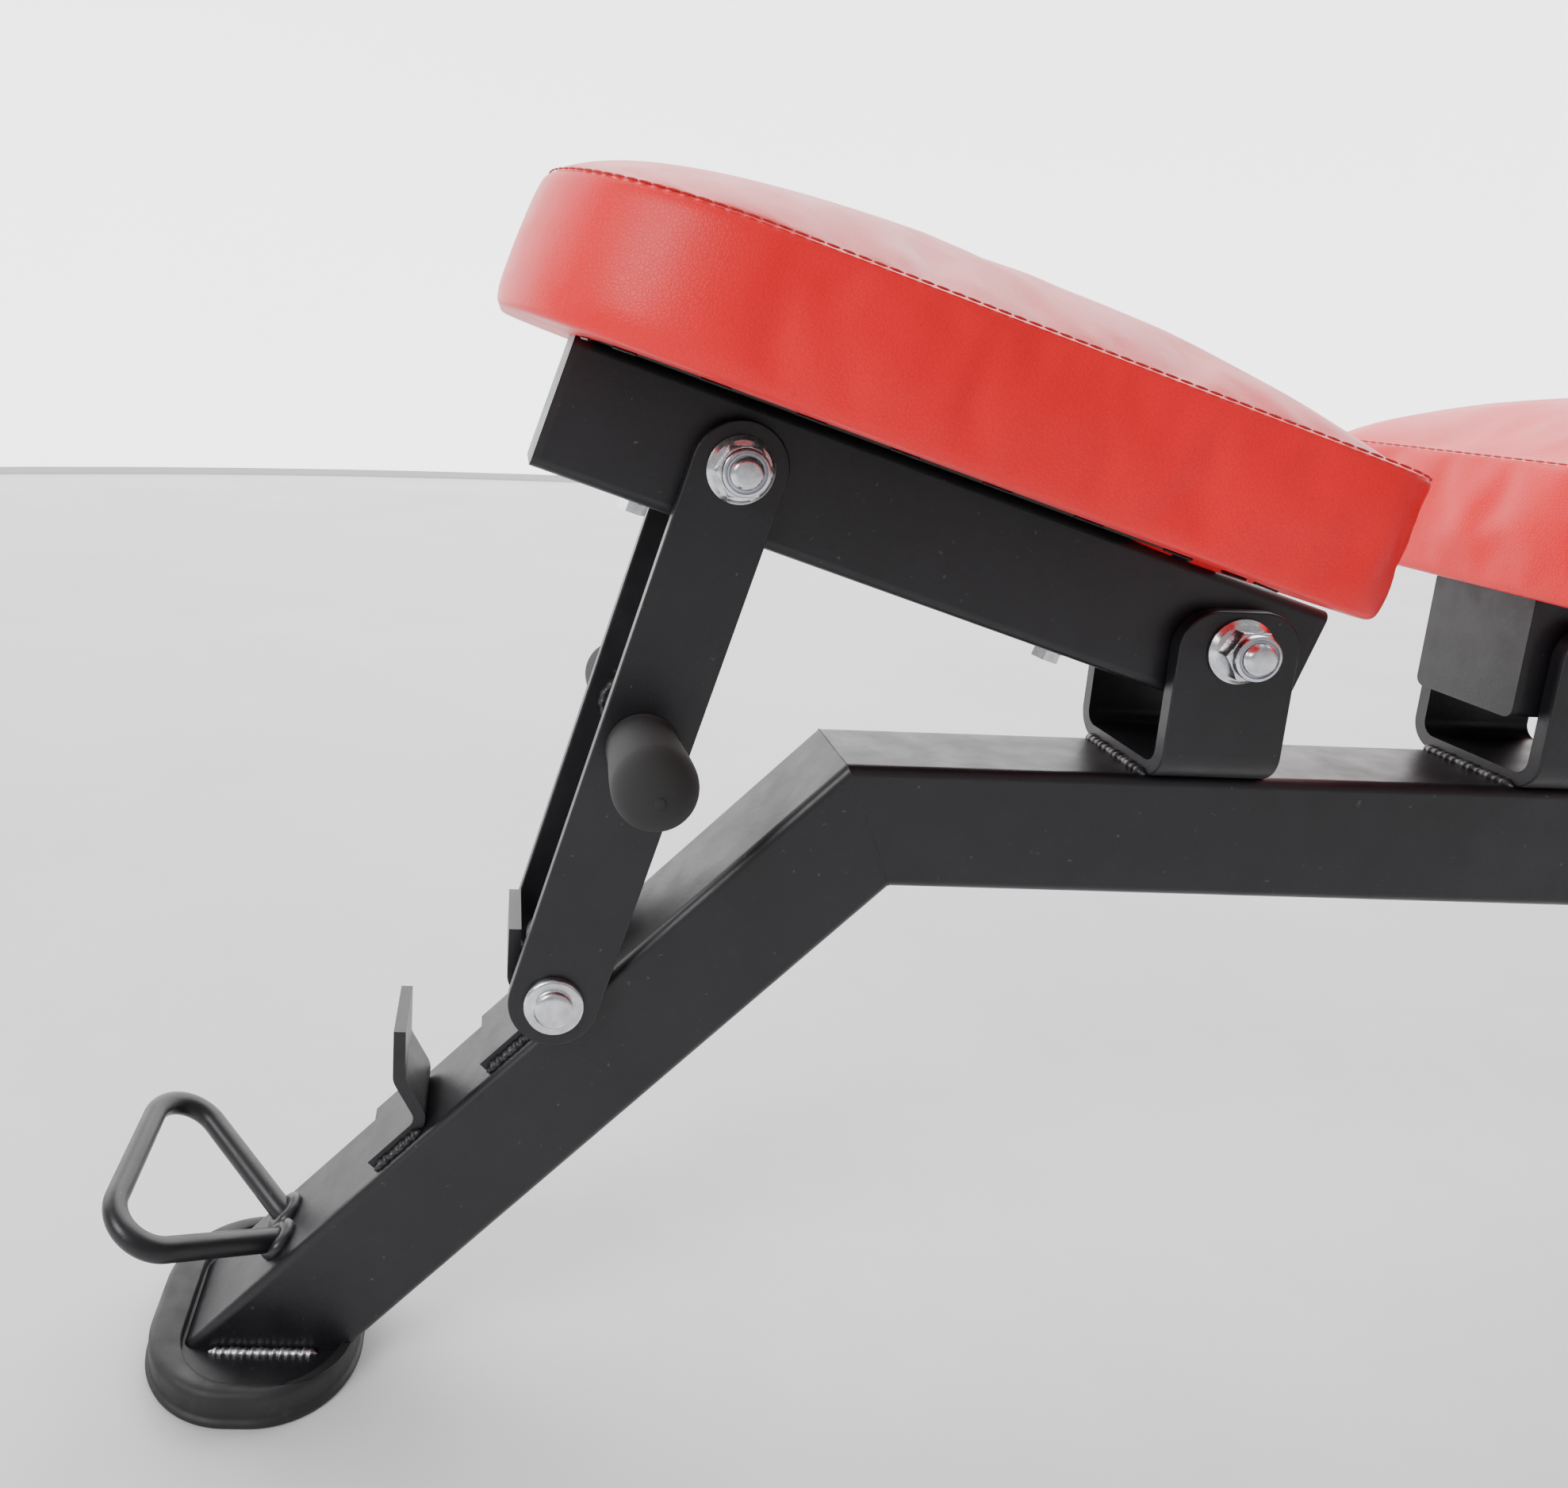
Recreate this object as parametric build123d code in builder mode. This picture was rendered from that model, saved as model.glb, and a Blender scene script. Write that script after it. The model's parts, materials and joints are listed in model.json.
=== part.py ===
from build123d import *
from math import cos, radians, sin, sqrt, tan
import os

# Adjustable weight bench, millimetres.
# +X runs from the front foot to the rear wheels, +Y to the bench's left side seen from the rear, +Z up.
# Origin: on the floor, under the middle of the front foot, in the bench's mid plane.

# ---- Driving dimensions -------------------------------------------------------------------------
# Square tube used for the beam, the legs, the seat tube, the backrest tube and the rear cross tube
TUBE = 50.0
TUBE_WALL = 2.5
TUBE_CORNER = 4.0

# Frame
BEAM_TOP = 280.0
LEG_SLOPE = 46.0
REAR_LEG_SLOPE = 62.0
LEG_FOOT_OFFSET = 6.5
BEAM_LENGTH = 930.0
CROSS_LENGTH = 500.0

# Front foot
FOOT_PLATE = 5.0
FOOT_PLATE_MARGIN = 1.25
FOOT_PLATE_SIDE = 20.0
FOOT_PLATE_CORNER = 27.0
BOOT_WALL = 4.0
BOOT_SIDE = 8.5
BOOT_RADIUS = 42.0
BOOT_SOLE = 6.0
BOOT_RIM = 4.0
BOOT_LIP = 3.0
BOOT_NOTCH_GAP = 0.5

# Lift handle: a bent rod loop on the front leg
ROD = 10.0
LOOP_REACH = 72.0
LOOP_HALF_WIDTH = 60.0
LOOP_FOOT = 7.0
LOOP_RADIUS = 17.0
LOOP_TILT = 29.4
LOOP_UP_LEG = 54.5

# Pivot brackets, bent from plate
PLATE = 6.0
SIDE_WASHER = 1.9
SIDE_PLAY = 0.1
SEAT_PIVOT_SET_BACK = 130.0
PIVOT_SPACING = 148.5
PIVOT_GAP = 28.5
BRACKET_LENGTH = 46.0
BRACKET_CREST = 15.0
BRACKET_FLAT = 16.0
BEND_RADIUS = 9.0
PLATE_EDGE = 0.8

# Seat
SEAT_TILT = 17.3
SEAT_STEPS = (0.0, 17.3)
SEAT_TUBE_FRONT = 274.0
TUBE_REAR = 32.0
SEAT_PAD_FRONT = 304.5
SEAT_PAD_REAR = 14.0
SEAT_PAD_WIDTH = 240.0
SEAT_BAND = 45.0
SEAT_PAD_BOLTS = (-229.5, -51.5)

# Backrest
BACK_STEPS = (0.0, 30.0, 45.0, 60.0, 75.0)
BACK_TUBE_LENGTH = 675.0
BACK_PAD_BOLTS = (80.0, 180.0, 300.0, 480.0)
BACK_PAD_AHEAD = 46.0
BACK_PAD_LENGTH = 750.0
BACK_PAD_WIDTH = 274.0
BACK_BAND = 50.0

# Pads
PAD_CROWN = 20.0
PAD_FRONT_RADIUS = 72.0
PAD_REAR_RADIUS = 22.0
BOARD = 12.0
BOARD_INSET = 5.0

# Struts
SEAT_STRUT_REACH = 202.3
SEAT_STRUT_LENGTH = 220.6
BACK_STRUT_REACH = 260.0
BACK_STRUT_LENGTH = 330.0
STRUT_WIDTH = 36.0
SPACER = 20.0
SPACER_GAP = 0.3
SPACER_CHAMFER = 1.0
HANDLE_TUBE = 20.0
HANDLE_WALL = 2.0
HANDLE_TUBE_GAP = 3.0
GRIP = 31.0
GRIP_NECK = 28.0
GRIP_LENGTH = 54.0
GRIP_BORE_DEPTH = 36.0

# Hook plates that hold the spacers
HOOK_PLATE = 5.0
HOOK_WIDTH = 36.0
HOOK_GAP = 0.5
SEAT_HOOK_LEAN = 17.0
SEAT_HOOK_KNEE = 23.0
SEAT_HOOK_LIP = 22.0
SEAT_HOOK_FOOT = 30.0
BACK_HOOK_HEIGHT = 21.0
BACK_HOOK_FOOT = 20.0
HOOK_BEND = 7.0

# Fasteners and bushes
BOLT = 12.0
BOLT_FLANGE = 25.0
BOLT_HEX = 18.0
HOLE_PLAY = 0.1
RUNNING_PLAY = 0.05
BUSH_WALL = 1.5
SLEEVE_WALL = 2.5
BUSH_LENGTH = 14.0
BUSH_FLANGE = 24.0
FLANGE_TAPER = 20.0
NUT_FLANGE = 2.5
NUT_HEX = 10.0
NUT_RING = 14.0
NUT_COLLAR = 17.5
NUT_COLLAR_HEIGHT = 3.0
HEAD_FLANGE = 2.5
HEAD_HEIGHT = 9.0
PIN_HEAD = 24.0
PIN_RIM = 3.85
PIN_BOSS = 15.0
PIN_HEAD_HEIGHT = 7.0
PIN_ROUND = 2.0
PAD_BOLT = 6.0
PAD_BOLT_HEX = 10.0
PAD_BOLT_HEAD = 4.0
PAD_WASHER = 1.6
PAD_WASHER_WIDTH = 12.0
PAD_BOLT_SHORT = 1.0
CAP_FACE = 3.0
CAP_PLUG = 12.0
CAP_WALL = 2.0
CAP_INNER_CORNER = 1.0

# Rear foot and wheels
REAR_PLATE = 6.0
REAR_PLATE_LENGTH = 76.0
REAR_PLATE_WIDTH = 130.0
REAR_PLATE_CORNER = 8.0
REAR_BOLT_SPACING = 96.0
REAR_BOLT = 10.0
REAR_BOLT_HEX = 17.0
REAR_HEAD = 6.0
REAR_HEAD_TAPER = 25.0
REAR_NUT = 8.0
SHOE_WALL = 6.0
SHOE_SOLE = 12.0
SHOE_LENGTH = 70.0
WHEEL = 92.0
WHEEL_WIDTH = 26.0
WHEEL_LIFT = 5.0
WHEEL_Y = 150.0
WHEEL_BEHIND = 54.0
AXLE = 10.0
EAR = 5.0
EAR_HEIGHT = 44.0
TYRE_DEPTH = 11.0
TYRE_ROUND = 6.0
HUB_BOSS = 22.0
HUB_RIM = 4.0
HUB_LAP = 1.0
HUB_WEB = 5.0
HUB_INSET = 1.0
EAR_PLAY = 1.0
AXLE_HEAD = 5.0
AXLE_END = 2.0

# ---- Sizes that follow ---------------------------------------------------------------------------
HALF = TUBE / 2
FORK_GAP = TUBE + 2 * (SIDE_WASHER + SIDE_PLAY)
FORK = FORK_GAP + 2 * PLATE
BUSH = BOLT + 2 * BUSH_WALL
SLEEVE = BUSH + 2 * SLEEVE_WALL
slope = radians(LEG_SLOPE)
rear_slope = radians(REAR_LEG_SLOPE)
beam_axis = BEAM_TOP - HALF
plate_top = BOOT_SOLE + FOOT_PLATE
foot_plate_length = TUBE / sin(slope) + 2 * FOOT_PLATE_MARGIN
foot_plate_width = TUBE + 2 * FOOT_PLATE_SIDE
boot_length = foot_plate_length + 2 * (LEG_FOOT_OFFSET + BOOT_WALL)
boot_width = foot_plate_width + 2 * BOOT_SIDE
leg_knee_x = LEG_FOOT_OFFSET + (beam_axis - plate_top) / tan(slope)
leg_knee_top_x = leg_knee_x - HALF * tan(slope / 2)
rear_knee_x = leg_knee_x + BEAM_LENGTH
cross_bottom = SHOE_SOLE
cross_top = cross_bottom + TUBE
rear_seat_z = cross_top + REAR_PLATE
cross_x = rear_knee_x + (beam_axis - rear_seat_z) / tan(rear_slope)
pivot_z = BEAM_TOP + HALF + PIVOT_GAP
seat_pivot_x = leg_knee_x + SEAT_PIVOT_SET_BACK
back_pivot_x = seat_pivot_x + PIVOT_SPACING
loop_down_leg = (BEAM_TOP - plate_top) / sin(slope) - LOOP_UP_LEG
tilt = radians(SEAT_TILT)
OUT = "parts"

# Frames of the moving assemblies: local x runs rearwards along the tube, local z square to the pad
seat = Plane(origin=(seat_pivot_x, 0, pivot_z), x_dir=(cos(tilt), 0, -sin(tilt)), z_dir=(sin(tilt), 0, cos(tilt)))
back = Plane(origin=(back_pivot_x, 0, pivot_z), x_dir=(1, 0, 0), z_dir=(0, 0, 1))
leg_top = Plane(origin=(leg_knee_top_x, 0, BEAM_TOP), x_dir=(-cos(slope), 0, -sin(slope)),
                z_dir=(-sin(slope), 0, cos(slope)))


def side_plane(frame, x=0.0, y=0.0, z=0.0):
    """Plane of a frame's x and z directions; extruding from it goes to the frame's -y side."""
    return Plane(origin=frame.from_local_coords((x, y, z)), x_dir=frame.x_dir, z_dir=-frame.y_dir)


def cross_plane(frame, x=0.0, y=0.0, z=0.0):
    """Plane square to a frame's x direction, with the frame's y as its own x."""
    return Plane(origin=frame.from_local_coords((x, y, z)), x_dir=frame.y_dir, z_dir=frame.x_dir)


def level_plane(frame, z=0.0, x=0.0):
    """Plane parallel to a frame's x and y directions at height z."""
    return Plane(origin=frame.from_local_coords((x, 0, z)), x_dir=frame.x_dir, z_dir=frame.z_dir)


def save(built, name):
    """Label a finished piece and write it as its own STEP file."""
    built.part.label = name
    export_step(built.part, f"{OUT}/{name}.step")


def tube_section():
    """Ring section of the square tube, drawn in the sketch that is open."""
    RectangleRounded(TUBE, TUBE, TUBE_CORNER)
    RectangleRounded(TUBE - 2 * TUBE_WALL, TUBE - 2 * TUBE_WALL, TUBE_CORNER - TUBE_WALL, mode=Mode.SUBTRACT)


def pin_place(top_x, top_z, line_x, line_z, down_x, down_z, length):
    """Where a strut of a given length reaches a line, on the far crossing: (x, z)."""
    along = (top_x - line_x) * down_x + (top_z - line_z) * down_z
    off_x = line_x + along * down_x - top_x
    off_z = line_z + along * down_z - top_z
    reach = sqrt(length ** 2 - off_x ** 2 - off_z ** 2)
    return line_x + (along + reach) * down_x, line_z + (along + reach) * down_z


def seat_pin(angle):
    """Centre of the seat strut's spacer with the seat tilted by an angle in degrees."""
    a = radians(angle)
    rise = SPACER / 2 + SPACER_GAP
    line = leg_top.from_local_coords((0, 0, rise))
    top_x = seat_pivot_x - SEAT_STRUT_REACH * cos(a)
    top_z = pivot_z + SEAT_STRUT_REACH * sin(a)
    return pin_place(top_x, top_z, line.X, line.Z, -cos(slope), -sin(slope), SEAT_STRUT_LENGTH)


def back_pin(angle):
    """Centre of the backrest strut's spacer with the backrest raised by an angle in degrees."""
    a = radians(angle)
    top_x = back_pivot_x + BACK_STRUT_REACH * cos(a)
    top_z = pivot_z + BACK_STRUT_REACH * sin(a)
    rise = BEAM_TOP + SPACER / 2 + SPACER_GAP
    return pin_place(top_x, top_z, back_pivot_x, rise, 1.0, 0.0, BACK_STRUT_LENGTH)


# ---- Frame ---------------------------------------------------------------------------------------
front_mitre = Plane(origin=(leg_knee_x, 0, beam_axis), z_dir=(1 + cos(slope), 0, sin(slope)))
rear_mitre = Plane(origin=(rear_knee_x, 0, beam_axis), z_dir=(1 + cos(rear_slope), 0, -sin(rear_slope)))
leg_run = Plane(origin=(leg_knee_x, 0, beam_axis), x_dir=(-cos(slope), 0, -sin(slope)),
                z_dir=(-sin(slope), 0, cos(slope)))
rear_run = Plane(origin=(rear_knee_x, 0, beam_axis), x_dir=(cos(rear_slope), 0, -sin(rear_slope)),
                 z_dir=(sin(rear_slope), 0, cos(rear_slope)))
leg_axis_length = (beam_axis - plate_top) / sin(slope)
rear_axis_length = (beam_axis - rear_seat_z) / sin(rear_slope)

with BuildPart() as main_beam:
    with BuildSketch(Plane(origin=(leg_knee_x - TUBE, 0, beam_axis), x_dir=(0, 1, 0), z_dir=(1, 0, 0))):
        tube_section()
    extrude(amount=BEAM_LENGTH + 2 * TUBE)
    split(bisect_by=front_mitre, keep=Keep.TOP)
    split(bisect_by=rear_mitre, keep=Keep.BOTTOM)

with BuildPart() as front_leg:
    with BuildSketch(cross_plane(leg_run, x=-TUBE)):
        tube_section()
    extrude(amount=leg_axis_length + 3 * TUBE)
    split(bisect_by=front_mitre, keep=Keep.BOTTOM)
    split(bisect_by=Plane.XY.offset(plate_top), keep=Keep.TOP)

with BuildPart() as rear_leg:
    with BuildSketch(cross_plane(rear_run, x=-TUBE)):
        tube_section()
    extrude(amount=rear_axis_length + 3 * TUBE)
    split(bisect_by=rear_mitre, keep=Keep.TOP)
    split(bisect_by=Plane.XY.offset(rear_seat_z), keep=Keep.TOP)

# ---- Front foot: a plate welded under the leg, standing in a rubber boot --------------------------
with BuildPart() as front_foot_plate:
    with BuildSketch(Plane.XY.offset(BOOT_SOLE)):
        with Locations((LEG_FOOT_OFFSET, 0)):
            RectangleRounded(foot_plate_length, foot_plate_width, FOOT_PLATE_CORNER)
    extrude(amount=FOOT_PLATE)

with BuildPart() as front_foot_boot:
    with BuildSketch(Plane.XY):
        RectangleRounded(boot_length, boot_width, BOOT_RADIUS)
    extrude(amount=plate_top + BOOT_RIM)
    fillet(front_foot_boot.edges().group_by(Axis.Z)[-1], BOOT_LIP)
    with BuildSketch(Plane.XY.offset(BOOT_SOLE)):
        with Locations((LEG_FOOT_OFFSET, 0)):
            RectangleRounded(foot_plate_length, foot_plate_width, FOOT_PLATE_CORNER)
    extrude(amount=plate_top + BOOT_RIM, mode=Mode.SUBTRACT)
    with BuildSketch(Plane.XY.offset(plate_top)):
        with Locations((boot_length / 2, 0)):
            Rectangle(boot_length, TUBE + 2 * BOOT_NOTCH_GAP)
    extrude(amount=2 * BOOT_RIM, mode=Mode.SUBTRACT)

# ---- Lift handle: one bent rod, both ends welded to the leg's top face ----------------------------
loop_foot = leg_top.from_local_coords((loop_down_leg, 0, 0))
loop_tilt = radians(LOOP_TILT)
loop_plane = Plane(origin=loop_foot, x_dir=(-cos(loop_tilt), 0, sin(loop_tilt)),
                   z_dir=(sin(loop_tilt), 0, cos(loop_tilt)))

with BuildPart() as lift_handle:
    with BuildLine(loop_plane) as loop_path:
        FilletPolyline((-ROD, LOOP_FOOT), (0, LOOP_FOOT), (LOOP_REACH, LOOP_HALF_WIDTH),
                       (LOOP_REACH, -LOOP_HALF_WIDTH), (0, -LOOP_FOOT), (-ROD, -LOOP_FOOT), radius=LOOP_RADIUS)
    with BuildSketch(Plane(origin=loop_path.line @ 0, z_dir=loop_path.line % 0)):
        Circle(ROD / 2)
    sweep(path=loop_path.line)
    split(bisect_by=leg_top, keep=Keep.TOP)


# ---- Hook plates: bent plates whose upright tabs stop the strut spacers ----------------------------
def seat_hook(angle):
    """One hook plate on the front leg: foot on the leg, leaning riser, upright lip over the spacer."""
    pin = leg_top.to_local_coords(Vector(seat_pin(angle)[0], 0, seat_pin(angle)[1]))
    lean = radians(SEAT_HOOK_LEAN)
    mid = HOOK_PLATE / 2
    reach = SPACER / 2 + HOOK_GAP + mid
    root = pin.X + (reach + (pin.Z - mid) * sin(lean)) / cos(lean)
    knee = root - (SEAT_HOOK_KNEE - mid) * tan(lean)
    tip = Vector(knee - SEAT_HOOK_LIP * sin(slope), 0, SEAT_HOOK_KNEE + SEAT_HOOK_LIP * cos(slope))
    with BuildPart() as hook:
        with BuildSketch(side_plane(leg_top, y=HOOK_WIDTH / 2)):
            with BuildLine():
                FilletPolyline((root + SEAT_HOOK_FOOT, mid), (root, mid), (knee, SEAT_HOOK_KNEE),
                               (tip.X, tip.Z), radius=HOOK_BEND)
            trace(line_width=HOOK_PLATE)
        extrude(amount=HOOK_WIDTH)
    return hook.part


def back_hook(angle):
    """One hook plate on the beam, behind the spacer's place at a backrest angle."""
    pin_x, pin_z = back_pin(angle)
    tab_x = pin_x + SPACER / 2 + HOOK_GAP + HOOK_PLATE / 2
    foot_z = BEAM_TOP + HOOK_PLATE / 2
    with BuildPart() as hook:
        with BuildSketch(Plane(origin=(0, HOOK_WIDTH / 2, 0), x_dir=(1, 0, 0), z_dir=(0, -1, 0))):
            with BuildLine():
                FilletPolyline((tab_x + BACK_HOOK_FOOT, foot_z), (tab_x, foot_z),
                               (tab_x, BEAM_TOP + BACK_HOOK_HEIGHT), radius=HOOK_BEND)
            trace(line_width=HOOK_PLATE)
        extrude(amount=HOOK_WIDTH)
    return hook.part


seat_hook_set = [seat_hook(step) for step in SEAT_STEPS]
back_hook_set = [back_hook(step) for step in BACK_STEPS]

with BuildPart() as seat_hooks:
    add(seat_hook_set)

with BuildPart() as back_hooks:
    add(back_hook_set)


# ---- Pivot brackets --------------------------------------------------------------------------------
def pivot_bracket(pivot_x):
    """U-shaped bent bracket on the beam with a cross hole for the pivot bolt."""
    mid = FORK / 2 - PLATE / 2
    crest = pivot_z + BRACKET_CREST
    with BuildPart() as bracket:
        front = Plane(origin=(pivot_x - BRACKET_LENGTH / 2, 0, 0), x_dir=(0, 1, 0), z_dir=(1, 0, 0))
        with BuildSketch(front):
            with BuildLine():
                FilletPolyline((-mid, crest), (-mid, BEAM_TOP + PLATE / 2), (mid, BEAM_TOP + PLATE / 2),
                               (mid, crest), radius=BEND_RADIUS)
            trace(line_width=PLATE)
        extrude(amount=BRACKET_LENGTH)
        corners = bracket.edges().filter_by(Axis.Y).group_by(Axis.Z)[-1]
        fillet(corners, (BRACKET_LENGTH - BRACKET_FLAT) / 2)
        rims = bracket.edges().filter_by(Axis.Z).filter_by(lambda e: abs(e.center().Y) > FORK / 2 - 1)
        fillet(rims, PLATE_EDGE)
        with BuildSketch(Plane(origin=(pivot_x, FORK, pivot_z), x_dir=(1, 0, 0), z_dir=(0, -1, 0))):
            Circle(BOLT / 2 + HOLE_PLAY)
        extrude(amount=2 * FORK, mode=Mode.SUBTRACT)
    return bracket


seat_bracket = pivot_bracket(seat_pivot_x)
back_bracket = pivot_bracket(back_pivot_x)

# ---- Bolts and nuts that run across the bench -----------------------------------------------------

def cross_bolt(x, z, size=BOLT, flange=BOLT_FLANGE, hexagon=BOLT_HEX, grip=FORK, y=0.0):
    """Flange bolt along Y: head at the +Y side of the grip, domed end past the nut."""
    head_side = Plane(origin=(x, y + grip / 2, z), x_dir=(1, 0, 0), z_dir=(0, 1, 0))
    with BuildPart() as bolt:
        with BuildSketch(head_side):
            Circle(flange / 2)
        extrude(amount=HEAD_FLANGE, taper=FLANGE_TAPER)
        with BuildSketch(head_side.offset(HEAD_FLANGE / 2)):
            RegularPolygon(hexagon / 2, 6, major_radius=False)
        extrude(amount=HEAD_HEIGHT - HEAD_FLANGE / 2)
        with BuildSketch(head_side):
            Circle(size / 2)
        extrude(amount=-(grip + NUT_RING))
        chamfer(bolt.edges().group_by(Axis.Y)[0], size / 8)
    return bolt


def cross_nut(x, z, size=BOLT, flange=BOLT_FLANGE, hexagon=BOLT_HEX, grip=FORK, y=0.0):
    """Flange lock nut on the -Y side of the grip."""
    nut_side = Plane(origin=(x, y - grip / 2, z), x_dir=(-1, 0, 0), z_dir=(0, -1, 0))
    with BuildPart() as nut:
        with BuildSketch(nut_side):
            Circle(flange / 2)
        extrude(amount=NUT_FLANGE, taper=FLANGE_TAPER)
        with BuildSketch(nut_side.offset(NUT_FLANGE / 2)):
            RegularPolygon(hexagon / 2, 6, major_radius=False)
        extrude(amount=NUT_HEX - NUT_FLANGE / 2)
        with BuildSketch(nut_side.offset(NUT_HEX)):
            Circle(NUT_COLLAR / 2)
        extrude(amount=NUT_COLLAR_HEIGHT)
        with BuildSketch(nut_side):
            Circle(size / 2 + HOLE_PLAY)
        extrude(amount=NUT_RING, mode=Mode.SUBTRACT)
    return nut


seat_pivot_bolt = cross_bolt(seat_pivot_x, pivot_z)
seat_pivot_nut = cross_nut(seat_pivot_x, pivot_z)
back_pivot_bolt = cross_bolt(back_pivot_x, pivot_z)
back_pivot_nut = cross_nut(back_pivot_x, pivot_z)


# ---- Seat and backrest tubes, with cross sleeves, bushes and end caps ------------------------------

def pad_tube(frame, x_front, x_rear, cross_holes, pad_bolts):
    """Square tube with cross holes for sleeves and upright holes for the pad bolts."""
    with BuildPart() as tube:
        with BuildSketch(cross_plane(frame, x=x_front + CAP_FACE)):
            tube_section()
        extrude(amount=x_rear - x_front - 2 * CAP_FACE)
        with BuildSketch(side_plane(frame, y=TUBE)):
            with Locations(*[(x, 0) for x in cross_holes]):
                Circle(SLEEVE / 2 + HOLE_PLAY)
        extrude(amount=2 * TUBE, mode=Mode.SUBTRACT)
        with BuildSketch(level_plane(frame, z=-TUBE)):
            with Locations(*[(x, 0) for x in pad_bolts]):
                Circle(PAD_BOLT / 2 + HOLE_PLAY)
        extrude(amount=2 * TUBE, mode=Mode.SUBTRACT)
    return tube


def sleeves(frame, cross_holes):
    """Steel sleeves across the tube that the bushes sit in."""
    with BuildPart() as built:
        with BuildSketch(side_plane(frame, y=HALF)):
            with Locations(*[(x, 0) for x in cross_holes]):
                Circle(SLEEVE / 2)
                Circle(BUSH / 2 + HOLE_PLAY, mode=Mode.SUBTRACT)
        extrude(amount=TUBE)
    return built


def bushes(frame, cross_holes):
    """Flanged plastic bushes, one at each end of each sleeve."""
    with BuildPart() as built:
        for side in (1, -1):
            with BuildSketch(side_plane(frame, y=side * HALF)):
                with Locations(*[(x, 0) for x in cross_holes]):
                    Circle(BUSH_FLANGE / 2)
            extrude(amount=-side * SIDE_WASHER)
            with BuildSketch(side_plane(frame, y=side * HALF)):
                with Locations(*[(x, 0) for x in cross_holes]):
                    Circle(BUSH / 2)
            extrude(amount=side * BUSH_LENGTH)
        with BuildSketch(side_plane(frame, y=TUBE)):
            with Locations(*[(x, 0) for x in cross_holes]):
                Circle(BOLT / 2 + RUNNING_PLAY)
        extrude(amount=2 * TUBE, mode=Mode.SUBTRACT)
    return built


def tube_caps(frame, x_front, x_rear):
    """Plastic end caps: a face as large as the tube and a plug inside it."""
    plug = TUBE - 2 * TUBE_WALL - 2 * HOLE_PLAY
    with BuildPart() as caps:
        for x, inward in ((x_front, 1), (x_rear, -1)):
            with BuildSketch(cross_plane(frame, x=x)):
                RectangleRounded(TUBE, TUBE, TUBE_CORNER)
            extrude(amount=inward * CAP_FACE)
            with BuildSketch(cross_plane(frame, x=x + inward * CAP_FACE)):
                RectangleRounded(plug, plug, TUBE_CORNER - TUBE_WALL)
                RectangleRounded(plug - 2 * CAP_WALL, plug - 2 * CAP_WALL, CAP_INNER_CORNER, mode=Mode.SUBTRACT)
            extrude(amount=inward * CAP_PLUG)
    return caps


seat_front = -SEAT_TUBE_FRONT
seat_cross = (0.0, -SEAT_STRUT_REACH)
seat_tube = pad_tube(seat, seat_front, TUBE_REAR, seat_cross, SEAT_PAD_BOLTS)
seat_sleeves = sleeves(seat, seat_cross)
seat_bushes = bushes(seat, seat_cross)
seat_tube_caps = tube_caps(seat, seat_front, TUBE_REAR)

back_rear = BACK_TUBE_LENGTH - TUBE_REAR
back_cross = (0.0, BACK_STRUT_REACH)
back_tube = pad_tube(back, -TUBE_REAR, back_rear, back_cross, BACK_PAD_BOLTS)
back_sleeves = sleeves(back, back_cross)
back_bushes = bushes(back, back_cross)
back_tube_caps = tube_caps(back, -TUBE_REAR, back_rear)


# ---- Pads: a plywood board wrapped in an upholstered cushion ---------------------------------------
def pad_outline(frame, z, x_front, x_rear, width, inset=0.0, rear_radius=PAD_REAR_RADIUS):
    """Pad outline in plan: wide front corners, rear corners of their own radius."""
    length = x_rear - x_front - 2 * inset
    with BuildSketch(level_plane(frame, z=z)) as outline:
        with Locations(((x_front + x_rear) / 2, 0)):
            Rectangle(length, width - 2 * inset)
        corners = outline.vertices().sort_by(lambda v: frame.to_local_coords(v.center()).X)
        fillet(corners[:2], PAD_FRONT_RADIUS - inset)
        corners = outline.vertices().sort_by(lambda v: frame.to_local_coords(v.center()).X)
        fillet(corners[-2:], rear_radius - inset)
    return outline.sketch


def pad_board(frame, x_front, x_rear, width, bolts, rear_radius=PAD_REAR_RADIUS):
    """Plywood board lying on the tube, drilled for the pad bolts."""
    outline = pad_outline(frame, HALF, x_front, x_rear, width, BOARD_INSET, rear_radius)
    with BuildPart() as board:
        extrude(outline, amount=BOARD)
        with BuildSketch(level_plane(frame, z=HALF)):
            with Locations(*[(x, 0) for x in bolts]):
                Circle(PAD_BOLT / 2 + HOLE_PLAY)
        extrude(amount=BOARD, mode=Mode.SUBTRACT)
    return board


def pad_cushion(frame, x_front, x_rear, width, band, rear_radius=PAD_REAR_RADIUS):
    """Upholstered block over and around the board."""
    crown_z = HALF + band + PAD_CROWN
    outline = pad_outline(frame, HALF, x_front, x_rear, width, 0.0, rear_radius)
    pocket = pad_outline(frame, HALF, x_front, x_rear, width, BOARD_INSET, rear_radius)
    with BuildPart() as cushion:
        extrude(outline, amount=band + PAD_CROWN)
        crown = cushion.edges().filter_by(lambda e: abs(frame.to_local_coords(e.center()).Z - crown_z) < 0.1)
        fillet(crown, PAD_CROWN)
        extrude(pocket, amount=BOARD, mode=Mode.SUBTRACT)
    return cushion


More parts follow.
